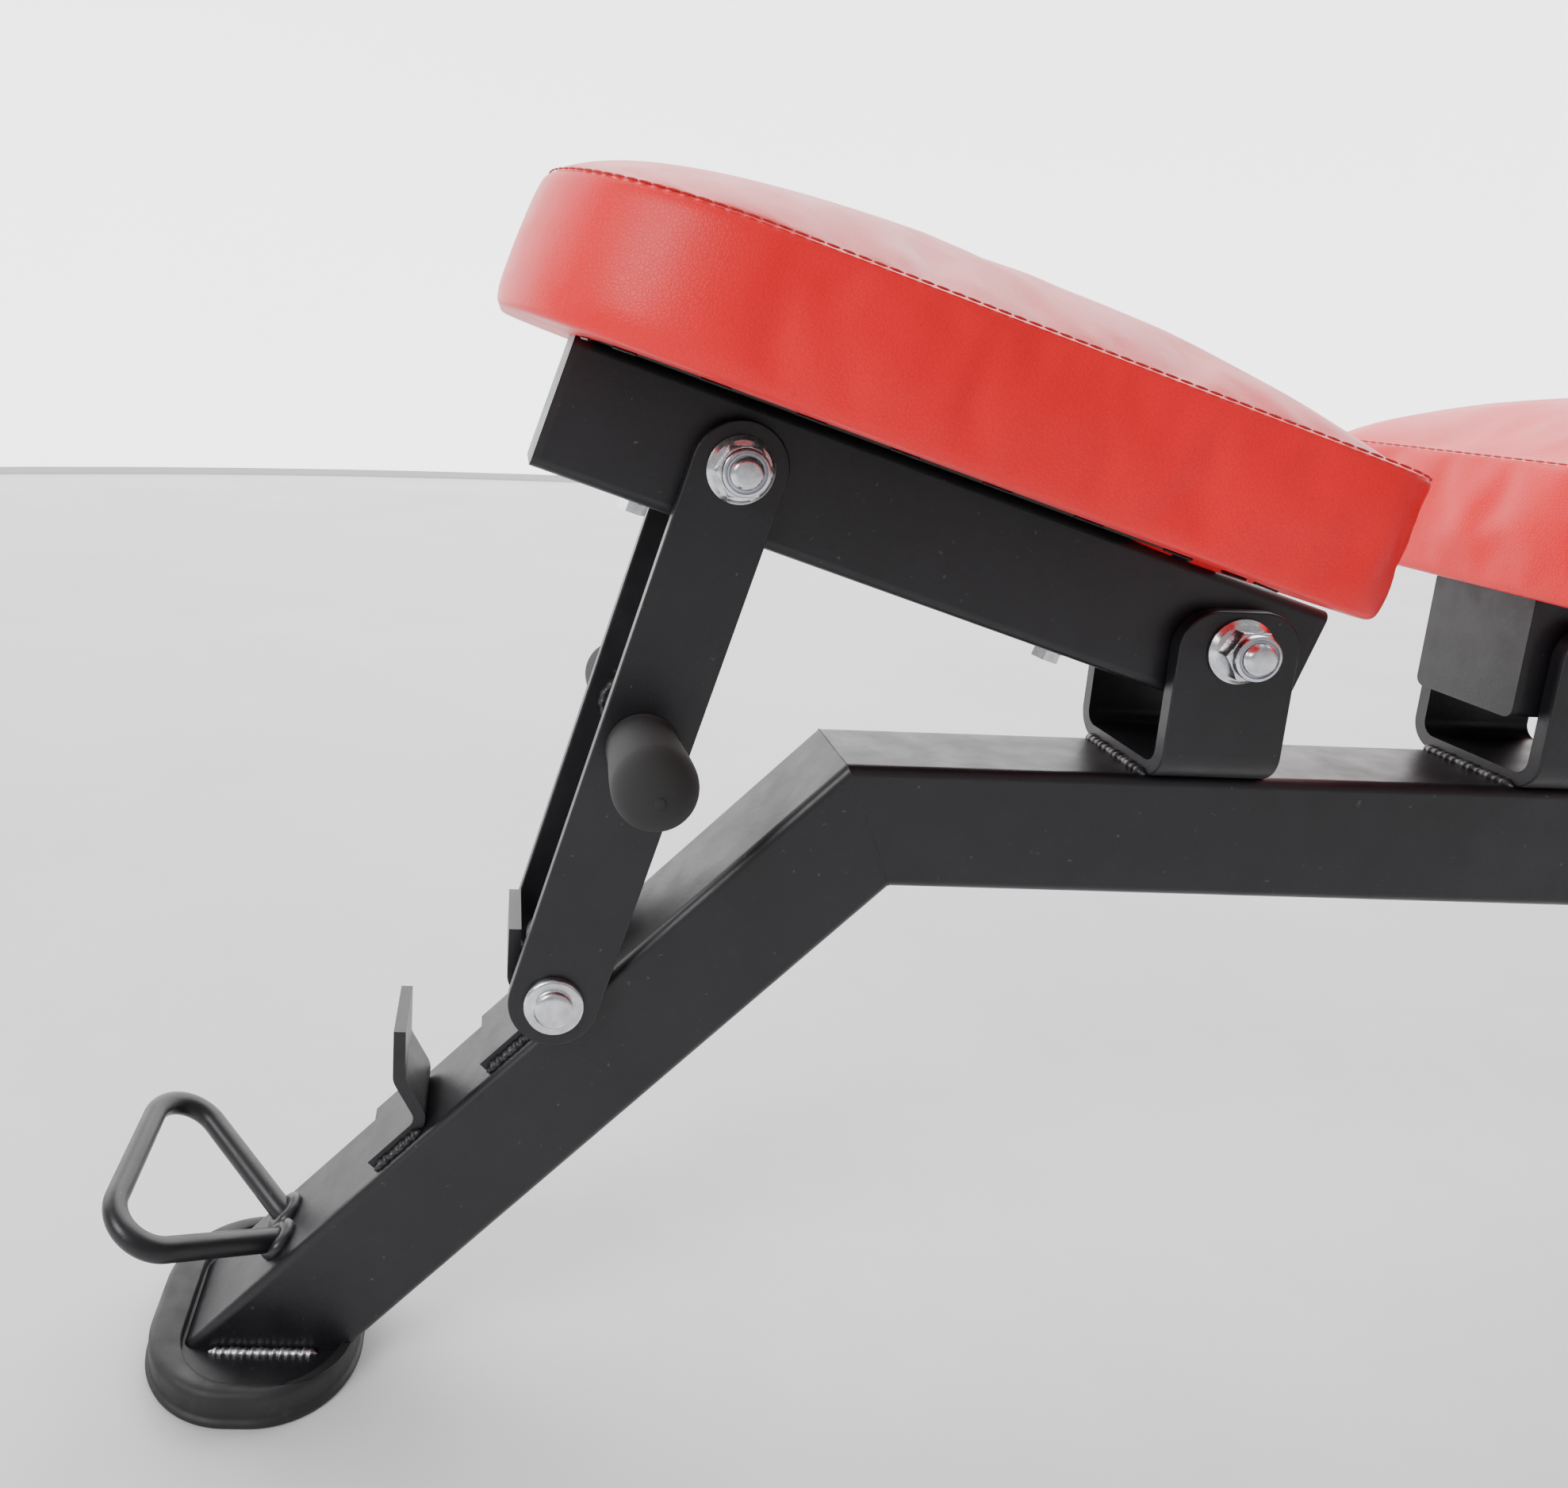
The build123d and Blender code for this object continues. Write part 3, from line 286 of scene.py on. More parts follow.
def bead(path: np.ndarray, radius: float, side: np.ndarray, endless: bool = False, pitch: float = 3.2 * MM,
         swell: float = 0.13) -> Shell:
    """Weld bead: a tube whose radius swells and falls along the path, each ripple trailing at the sides.

    The radius is radius * (1 + swell cos(turns along the path + 1.3 cos(angle)) + slow waves).

    Args:
        path: Points of the bead's line.
        radius: Its mean radius.
        side: A direction never along the path.
        endless: True where the path ends where it starts.
        pitch: Length of one ripple.
        swell: Height of a ripple as a share of the radius.

    Returns:
        The closed shell.
    """
    around = 12
    along = lengths_along(path)[:, None]
    angle = angles(around)[None]
    ripple = swell * np.cos(TURN * along / pitch + 1.3 * np.cos(angle))
    slow = 0.09 * np.sin(along * 610 + 1.0) + 0.06 * np.sin(along * 1490 + angle)
    size = radius * (1 + ripple + slow)
    if not endless:
        ends = np.minimum(along, along[-1] - along) / (1.6 * radius)
        size = size * np.sqrt(np.clip(ends, 0.04, 1.0))
    return pipe(path, size, side, around, endless)


def circle_points(centre: np.ndarray, a: np.ndarray, b: np.ndarray, count: int) -> np.ndarray:
    """Points of an ellipse whose half axes are the vectors a and b."""
    angle = angles(count)[:, None]
    return np.asarray(centre) + np.cos(angle) * a + np.sin(angle) * b


def rounded_sides(low: np.ndarray, high: np.ndarray, radii: tuple[float, float], fx: np.ndarray,
                  fy: np.ndarray) -> list[np.ndarray]:
    """The four sides of a rounded rectangle, each from one corner arc's middle to the next.

    Args:
        low: Lowest x and y.
        high: Highest x and y.
        radii: Corner radius at the low x end and at the high x end.
        fx: Shares of the side's length at which the two long sides get points.
        fy: The same for the two end sides.

    Returns:
        Four arrays of points, counter-clockwise, starting on the side of lowest y.
    """
    r0, r1 = radii
    centres = [(low[0] + r0, low[1] + r0, r0), (high[0] - r1, low[1] + r1, r1),
               (high[0] - r1, high[1] - r1, r1), (low[0] + r0, high[1] - r0, r0)]
    sides = []
    for i, share in enumerate((fx, fy, fx, fy)):
        start = math.radians(225 + 90 * i)
        arcs = []
        for (cx, cy, r), begin in ((centres[i], start), (centres[(i + 1) % 4], start + math.pi / 4)):
            angle = np.linspace(begin, begin + math.pi / 4, 24)
            arcs.append(np.stack([cx + r * np.cos(angle), cy + r * np.sin(angle)], -1))
        sides.append(resampled(np.concatenate(arcs), share))
    return sides


def loop_of(sides: list[np.ndarray]) -> np.ndarray:
    """The sides as one closed loop of points, no corner twice."""
    return np.concatenate([s[:-1] for s in sides])


def even_loop(low: np.ndarray, high: np.ndarray, radii: tuple[float, float], count: int) -> np.ndarray:
    """Evenly spaced points round a rounded rectangle."""
    share = np.linspace(0, 1, 60)
    track = loop_of(rounded_sides(low, high, radii, share, share))
    return resampled(np.vstack([track, track[:1]]), np.arange(count) / count)


# ---------------------------------------------------------------------------------------------
# Finishes
# ---------------------------------------------------------------------------------------------
class NodeBoard:
    """A material's nodes, with short ways to add the patterns that the finishes share."""

    def __init__(self, name: str) -> None:
        """Starts a material with an empty Principled shader.

        Args:
            name: The material's name.
        """
        self.material = bpy.data.materials.new(name)
        self.material.use_nodes = True
        self.tree = self.material.node_tree
        self.tree.nodes.clear()
        self.shader = self.tree.nodes.new("ShaderNodeBsdfPrincipled")
        output = self.tree.nodes.new("ShaderNodeOutputMaterial")
        self.tree.links.new(self.shader.outputs["BSDF"], output.inputs["Surface"])
        self.coordinates = self.tree.nodes.new("ShaderNodeTexCoord").outputs["Object"]

    def wire(self, source: bpy.types.NodeSocket, target: bpy.types.NodeSocket) -> None:
        """Links one socket to another."""
        self.tree.links.new(source, target)

    def node(self, kind: str, vector: bpy.types.NodeSocket | None = None,
             **values: float) -> bpy.types.Node:
        """Adds a node; an underscore in a socket's name stands for a space."""
        made = self.tree.nodes.new(f"ShaderNode{kind}")
        for name, value in values.items():
            made.inputs[name.replace("_", " ")].default_value = value
        if vector is not None:
            self.wire(vector, made.inputs["Vector"])
        return made

    def fixed(self, **values: float) -> None:
        """Sets the shader's own sockets; an underscore in a name stands for a space."""
        for name, value in values.items():
            self.shader.inputs[name.replace("_", " ")].default_value = value

    def stretched(self, scale: tuple[float, float, float]) -> bpy.types.NodeSocket:
        """Object coordinates scaled apart along each axis."""
        return self.node("Mapping", self.coordinates, Scale=scale).outputs["Vector"]

    def noise(self, scale: float, detail: float = 3.0, rough: float = 0.55,
              vector: bpy.types.NodeSocket | None = None) -> bpy.types.NodeSocket:
        """Noise, scale in features per metre."""
        where = vector or self.coordinates
        return self.node("TexNoise", where, Scale=scale, Detail=detail, Roughness=rough).outputs["Fac"]

    def cells(self, scale: float) -> bpy.types.NodeSocket:
        """Distance to the nearest of scattered points, scale in cells per metre."""
        node = self.node("TexVoronoi", self.coordinates, Scale=scale)
        node.feature = "DISTANCE_TO_EDGE"
        return node.outputs["Distance"]

    def ramp(self, factor: bpy.types.NodeSocket, low: float, high: float, start: tuple,
             end: tuple) -> bpy.types.NodeSocket:
        """Colour that goes from start to end as the factor goes from low to high."""
        node = self.tree.nodes.new("ShaderNodeValToRGB")
        first, last = node.color_ramp.elements[0], node.color_ramp.elements[1]
        first.position, last.position = low, high
        first.color, last.color = (*start, 1.0), (*end, 1.0)
        self.wire(factor, node.inputs["Fac"])
        return node.outputs["Color"]

    def spread(self, factor: bpy.types.NodeSocket, low: float, high: float, to_low: float,
               to_high: float) -> bpy.types.NodeSocket:
        """Number that goes from to_low to to_high as the factor goes from low to high."""
        node = self.node("MapRange", From_Min=low, From_Max=high, To_Min=to_low, To_Max=to_high)
        self.wire(factor, node.inputs["Value"])
        return node.outputs["Result"]

    def mixed(self, factor: bpy.types.NodeSocket, one: bpy.types.NodeSocket,
              other: tuple) -> bpy.types.NodeSocket:
        """Colour one turned towards another by a factor."""
        node = self.tree.nodes.new("ShaderNodeMix")
        node.data_type = "RGBA"
        self.wire(factor, node.inputs["Factor"])
        self.wire(one, node.inputs["A"])
        node.inputs["B"].default_value = (*other, 1.0)
        return node.outputs["Result"]

    def bump(self, height: bpy.types.NodeSocket, distance: float, strength: float = 1.0,
             below: bpy.types.NodeSocket | None = None) -> bpy.types.NodeSocket:
        """Surface relief from a height, on top of another relief where given."""
        node = self.node("Bump", Distance=distance, Strength=strength)
        self.wire(height, node.inputs["Height"])
        if below is not None:
            self.wire(below, node.inputs["Normal"])
        return node.outputs["Normal"]

    def done(self, colour: bpy.types.NodeSocket, rough: bpy.types.NodeSocket,
             normal: bpy.types.NodeSocket) -> bpy.types.Material:
        """Links the colour, roughness and relief to the shader and gives the material back."""
        self.wire(colour, self.shader.inputs["Base Color"])
        self.wire(rough, self.shader.inputs["Roughness"])
        self.wire(normal, self.shader.inputs["Normal"])
        return self.material


@dataclass(frozen=True)
class PowderCoat:
    """Satin powder coat: dark, with a fine orange-peel relief, faint clouding and a few dust specks."""

    name: str = "satin_black_powder_coat"
    dark: tuple = (0.0050, 0.0048, 0.0066)
    light: tuple = (0.0095, 0.0092, 0.0120)
    dust: tuple = (0.10, 0.098, 0.094)
    rough: tuple = (0.34, 0.46)

    def build(self) -> bpy.types.Material:
        """Makes the material."""
        board = NodeBoard(self.name)
        cloud = board.ramp(board.noise(16), 0.3, 0.75, self.dark, self.light)
        specks = board.spread(board.noise(330, 2.0), 0.71, 0.80, 0.0, 0.55)
        colour = board.mixed(specks, cloud, self.dust)
        rough = board.spread(board.noise(70, 5.0), 0.3, 0.7, *self.rough)
        peel = board.bump(board.noise(420, 2.0), 0.00010, 0.5)
        grain = board.bump(board.noise(1700, 2.0), 0.00005, 0.6, peel)
        board.fixed(Specular_IOR_Level=0.5)
        return board.done(colour, rough, grain)


@dataclass(frozen=True)
class Metal:
    """Bare or plated metal: mottled brightness, fine scratches that run one way, and slight pitting."""

    name: str
    dark: tuple
    light: tuple
    rough: tuple
    relief: float = 0.00004
    mottle: float = 240.0

    def build(self) -> bpy.types.Material:
        """Makes the material."""
        board = NodeBoard(self.name)
        colour = board.ramp(board.noise(self.mottle, 4.0), 0.28, 0.72, self.dark, self.light)
        scratches = board.noise(1.0, 3.0, 0.6, board.stretched((2600.0, 260.0, 2600.0)))
        rough = board.spread(scratches, 0.25, 0.75, *self.rough)
        fine = board.bump(scratches, self.relief, 0.5)
        pits = board.bump(board.noise(900, 3.0), self.relief * 1.5, 0.4, fine)
        board.fixed(Metallic=1.0)
        return board.done(colour, rough, pits)


@dataclass(frozen=True)
class Moulded:
    """Moulded rubber or plastic: nearly even colour, a fine tool texture and faint handling marks."""

    name: str
    dark: tuple
    light: tuple
    rough: tuple
    texture: float = 1300.0
    depth: float = 0.00006

    def build(self) -> bpy.types.Material:
        """Makes the material."""
        board = NodeBoard(self.name)
        cloud = board.ramp(board.noise(28, 4.0), 0.3, 0.75, self.dark, self.light)
        marks = board.spread(board.noise(110, 6.0, 0.7), 0.62, 0.78, 0.0, 0.35)
        colour = board.mixed(marks, cloud, tuple(3.2 * c for c in self.light))
        rough = board.spread(board.noise(90, 4.0), 0.3, 0.7, *self.rough)
        coarse = board.bump(board.noise(self.texture / 4, 2.0), self.depth, 0.4)
        fine = board.bump(board.noise(self.texture, 2.0), self.depth, 0.6, coarse)
        return board.done(colour, rough, fine)


@dataclass(frozen=True)
class Vinyl:
    """Upholstery vinyl: strong even colour, a shallow pebbled grain with painted shade darkening its grooves, and
    a soft top-coat gloss.
    """

    name: str = "red_upholstery_vinyl"
    deep: tuple = (0.80, 0.0010, 0.0085)
    bright: tuple = (0.97, 0.0022, 0.0150)
    # colour of the painted shade in the grain's grooves
    groove_shade: tuple = (0.46, 0.0006, 0.0012)
    rough: tuple = (0.36, 0.48)
    grain: float = 760.0

    def build(self) -> bpy.types.Material:
        """Makes the material."""
        board = NodeBoard(self.name)
        tone = board.ramp(board.noise(11, 3.0), 0.3, 0.7, self.deep, self.bright)
        # painted shade: near the grain cells' edges, where the relief sinks, the colour is turned up to 22%
        # towards a darker red
        groove_shade_share = board.spread(board.cells(self.grain), 0.0, 0.06, 0.22, 0.0)
        colour = board.mixed(groove_shade_share, tone, self.groove_shade)
        rough = board.spread(board.noise(46, 4.0), 0.3, 0.7, *self.rough)
        pebble = board.bump(board.spread(board.cells(self.grain), 0.0, 0.16, 0.0, 1.0), 0.00007, 0.55)
        soft = board.bump(board.noise(210, 3.0), 0.00020, 0.35, pebble)
        board.fixed(Coat_Weight=0.10, Coat_Roughness=0.30, Specular_IOR_Level=0.34)
        return board.done(colour, rough, soft)


@dataclass(frozen=True)
class Plywood:
    """Plywood darkened to near black as painted shade for the pad's shaded underside, with long grain and darker
    growth lines.
    """

    name: str = "shade_darkened_plywood"
    # painted shade: both grain colours are kept near black so that the board reads as the shade under the pad
    pale: tuple = (0.050, 0.040, 0.033)
    brown: tuple = (0.026, 0.020, 0.017)

    def build(self) -> bpy.types.Material:
        """Makes the material."""
        board = NodeBoard(self.name)
        grain = board.noise(1.0, 6.0, 0.65, board.stretched((5.0, 95.0, 260.0)))
        tone = board.ramp(grain, 0.32, 0.68, self.brown, self.pale)
        blotch = board.spread(board.noise(14, 3.0), 0.45, 0.75, 0.0, 0.30)
        colour = board.mixed(blotch, tone, self.brown)
        rough = board.spread(grain, 0.3, 0.7, 0.72, 0.56)
        return board.done(colour, rough, board.bump(grain, 0.00025, 0.5))


@dataclass(frozen=True)
class Thread:
    """Twisted sewing thread, a little darker than the cover that it holds."""

    name: str = "red_thread"
    dark: tuple = (0.36, 0.0010, 0.0030)
    light: tuple = (0.56, 0.0020, 0.0060)

    def build(self) -> bpy.types.Material:
        """Makes the material."""
        board = NodeBoard(self.name)
        twist = board.noise(1.0, 2.0, 0.5, board.stretched((2400.0, 2400.0, 900.0)))
        colour = board.ramp(twist, 0.35, 0.65, self.dark, self.light)
        rough = board.spread(twist, 0.3, 0.7, 0.75, 0.6)
        return board.done(colour, rough, board.bump(twist, 0.0001, 0.8))


class Finish(Enum):
    """The bench's finishes."""

    COAT = PowderCoat()
    WELD_COAT = PowderCoat("powder_coat_on_weld", (0.014, 0.0135, 0.016), (0.030, 0.029, 0.032),
                           rough=(0.3, 0.42))
    ZINC = Metal("bright_zinc", (0.58, 0.59, 0.62), (0.86, 0.87, 0.90), (0.16, 0.30))
    STEEL = Metal("plain_steel", (0.30, 0.30, 0.31), (0.52, 0.52, 0.53), (0.30, 0.48))
    WIRE = Metal("dark_staple_wire", (0.020, 0.020, 0.022), (0.050, 0.050, 0.052), (0.42, 0.60))
    BARE_WELD = Metal("bare_weld", (0.42, 0.42, 0.44), (0.90, 0.90, 0.92), (0.20, 0.42), 0.0003, 700.0)
    BOOT = Moulded("boot_rubber", (0.0085, 0.0085, 0.0088), (0.017, 0.017, 0.0175), (0.48, 0.66), 1100.0,
                   0.00009)
    GRIP = Moulded("grip_rubber", (0.0060, 0.0060, 0.0064), (0.0115, 0.0115, 0.012), (0.36, 0.50), 1500.0,
                   0.00005)
    TYRE = Moulded("tyre_rubber", (0.014, 0.014, 0.014), (0.024, 0.024, 0.024), (0.60, 0.78), 900.0, 0.00010)
    NYLON = Moulded("black_nylon", (0.0090, 0.0090, 0.0095), (0.015, 0.015, 0.016), (0.40, 0.54))
    HUB = Moulded("grey_nylon", (0.050, 0.051, 0.054), (0.074, 0.075, 0.080), (0.38, 0.52))
    COLLAR = Moulded("nut_collar_nylon", (0.46, 0.52, 0.60), (0.62, 0.68, 0.75), (0.32, 0.45))
    VINYL = Vinyl()
    THREAD = Thread()
    PLY = Plywood()

    def material(self) -> bpy.types.Material:
        """The finish's material, made the first time it is asked for."""
        return bpy.data.materials.get(self.value.name) or self.value.build()


SLOT_FINISH = {
    "black_paint": Finish.COAT, "zinc": Finish.ZINC, "plain_steel": Finish.STEEL,
    "black_plastic": Finish.NYLON, "wheel_plastic": Finish.HUB, "foot_rubber": Finish.BOOT,
    "grip_rubber": Finish.GRIP, "tyre_rubber": Finish.TYRE, "vinyl_red": Finish.VINYL, "plywood": Finish.PLY,
}


def dressed(piece: bpy.types.Object, finish: Finish, body: str, slot: str, *nodes: str) -> bpy.types.Object:
    """Gives a piece its finish and body, and logs it.

    Args:
        piece: The new piece.
        finish: Its finish.
        body: The body that it moves with.
        slot: The record's material slot that it belongs to; not used.
        nodes: CAD nodes that it stands for.

    Returns:
        The piece.
    """
    piece.data.materials.append(finish.material())
    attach(piece, body)
    if nodes:
        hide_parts(*nodes)
    LOG.info("%s rides on %s, %d faces", piece.name, body, len(piece.data.polygons))
    return piece


# ---------------------------------------------------------------------------------------------
# What the frame says
# ---------------------------------------------------------------------------------------------
JOINT_POINTS = {j["name"]: np.array(j["pos_m"], float) for j in frame["joints"] if "pos_m" in j}


def node_points(node: str) -> np.ndarray:
    """A CAD node's points, in the bench's axes."""
    return mesh_points(frame["nodes"][node].data)


def extent(node: str, place: Place | None = None) -> tuple[np.ndarray, np.ndarray]:
    """Lowest and highest coordinates of a CAD node, in a place's axes or the bench's."""
    points = node_points(node)
    if place is not None:
        points = place.into(points)
    return points.min(0), points.max(0)


def run_place(start: np.ndarray, end: np.ndarray) -> Place:
    """Axes at start with x towards end, y across the bench and z square to both."""
    x = unit(end - start)
    return Place(start, x, np.cross(x, ACROSS))


def side_place(point: np.ndarray, side: float) -> Place:
    """Axes at a point whose z points out across the bench, to side 1 or -1."""
    return Place(np.asarray(point, float), ALONG, side * ACROSS)


# ---------------------------------------------------------------------------------------------
# Fasteners
# ---------------------------------------------------------------------------------------------
@dataclass(frozen=True)
class FlangeFastener:
    """A flanged hexagon on a round bolt, turned about its own z.

    Args:
        bolt: Bolt diameter.
        flange: Flange diameter.
        flats: Width across flats.
        height: Height of the hexagon's top over the seat.
        stick_out: How far the bolt's end stands over the seat, for a nut.
    """

    bolt: float = 12 * MM
    flange: float = 25 * MM
    flats: float = 18 * MM
    height: float = 9.4 * MM
    stick_out: float = 15.2 * MM
    around: int = 96
    thread_pitch: float = 1.75 * MM
    thread_depth: float = 0.75 * MM

    @property
    def corner(self) -> float:
        """Radius of the hexagon's corners."""
        return self.flats / math.sqrt(3)

    def base(self) -> list[tuple[float, float]]:
        """Rows of the flange: a short rim, then a cone that rises to the hexagon."""
        rim, wide = self.flange / 2, self.corner
        return [(0.0, rim * 0.6), (0.0, rim - 0.5 * MM), (0.35 * MM, rim), (1.3 * MM, rim),
                (1.7 * MM, rim - 0.5 * MM), (3.0 * MM, wide + 0.55 * MM), (3.3 * MM, wide + 0.1 * MM)]

    def hexagon_limit(self, rows: np.ndarray) -> np.ndarray:
        """Largest radius at each row and angle: a round flange, then a hexagon chamfered at 30 degrees."""
        flat = hexagon(self.flats, self.around)[None]
        cone = self.flats / 2 + 0.15 * MM + (self.height - rows[:, :1]) / math.tan(math.radians(30))
        limit = np.minimum(flat, np.maximum(cone, self.flats / 2 * 0.97))
        above = np.where(rows[:, :1] > self.height, self.corner, limit)
        return np.where(rows[:, :1] < 3.2 * MM, self.flange, above)

    def body_rows(self) -> list[tuple[float, float]]:
        """Rows of the hexagon, close together where the chamfer cuts it."""
        wide = self.corner + 0.05 * MM
        low = [(h * MM, wide) for h in (3.31, 4.2, 5.5, 6.5)]
        return low + [(h, wide) for h in np.linspace(self.height - 2.4 * MM, self.height, 12)]

    def nut(self) -> Shell:
        """Flange lock nut with its round collar; its top is closed by a shallow ring round the bolt."""
        collar = self.flats / 2 - 0.25 * MM
        top = self.height + 3.0 * MM
        rows = self.base() + self.body_rows() + [
            (self.height + 0.02 * MM, collar), (top - 1.0 * MM, collar), (top - 0.4 * MM, collar - 0.2 * MM),
            (top, collar - 0.9 * MM), (top, self.bolt / 2 + 1.5 * MM),
            (top - 0.5 * MM, self.bolt / 2 + 1.0 * MM),
            (top - 1.6 * MM, self.bolt / 2 + 0.8 * MM)]
        profile = np.array(rows)
        return lathe(profile, self.around, self.hexagon_limit(profile))

    def insert(self) -> Shell:
        """The nylon ring seen inside the collar's mouth."""
        top = self.height + 1.9 * MM
        inner, outer = self.bolt / 2 - 0.1 * MM, self.bolt / 2 + 1.0 * MM
        angle = angles(12)
        radius = (outer + inner) / 2 + (outer - inner) / 2 * np.cos(angle)
        rings = turned(radius[None], angles(48)[:, None], (top + 0.7 * MM * np.sin(angle))[None])
        return ring_shell(rings, endless=True)

    def bolt_end(self) -> Shell:
        """Threaded end: the radius falls by the thread's depth along a helix, and the tip is chamfered."""
        low = self.height - 1.0 * MM
        height = np.linspace(low, self.stick_out - 1.1 * MM, 56)
        angle = np.arange(self.around) / self.around
        phase = np.mod(height[:, None] / self.thread_pitch - angle[None], 1.0)
        thread = self.thread_depth * np.abs(2 * phase - 1)
        tip = [(self.stick_out - 0.6 * MM, 5.3 * MM), (self.stick_out - 0.15 * MM, 4.7 * MM),
               (self.stick_out, 3.9 * MM)]
        rows = np.array([(h, self.bolt / 2) for h in height] + tip)
        limit = np.full((len(rows), self.around), self.bolt)
        limit[:len(height)] = self.bolt / 2 - thread
        return lathe(rows, self.around, limit)

    def head(self) -> Shell:
        """Flanged bolt head, its top slightly domed inside the chamfer."""
        rows = self.base() + self.body_rows() + [
            (self.height + 0.10 * MM, self.flats / 2 - 1.2 * MM), (self.height + 0.16 * MM, self.flats / 4),
            (self.height + 0.18 * MM, 1.0 * MM)]
        profile = np.array(rows)
        limit = self.hexagon_limit(profile)
        limit[-3:] = self.flange
        return lathe(profile, self.around, limit)


@dataclass(frozen=True)
class PinHead:
    """Round two-step head of a strut's cross pin, with a soft dome."""

    radius: float = 12 * MM
    step: float = 7.6 * MM
    height: float = 6.6 * MM
    edge: float = 1.8 * MM
    edge_round: float = 1.6 * MM
    boss: float = 4.9 * MM

    def shell(self) -> Shell:
        """Turned profile: a rounded rim, a shallow shelf and a domed boss."""
        angle = np.linspace(0, math.pi / 2, 8)
        rim = [(self.edge + self.edge_round * math.sin(a), self.radius - self.edge_round * (1 - math.cos(a)))
               for a in angle]
        shelf = [(3.75 * MM, self.step + 1.4 * MM), (3.95 * MM, self.step + 0.5 * MM),
                 (4.4 * MM, self.step + 0.1 * MM)]
        dome = [(self.boss + (self.height - self.boss) * math.sin(a), self.step * math.cos(a) ** 0.7)
                for a in angle[:-1]]
        start = [(0.0, self.radius - 0.4 * MM), (0.4 * MM, self.radius)]
        return lathe(np.array(start + rim + shelf + dome), 64)


# ---------------------------------------------------------------------------------------------
# Pads
# ---------------------------------------------------------------------------------------------
UNDER_ROWS = ((36.0, -0.5), (22.0, -0.8), (10.0, -0.8), (4.0, -0.7), (1.9, -0.4), (0.7, 0.7), (0.1, 2.6))
CLOTH_SETTINGS = {
    "quality": 6, "mass": 0.25, "tension_stiffness": 22, "compression_stiffness": 22, "shear_stiffness": 12,
    "bending_stiffness": 0.6, "shrink_min": -0.012, "use_pressure": True, "uniform_pressure_force": 4.0,
}
CLOTH_FRAMES = 20


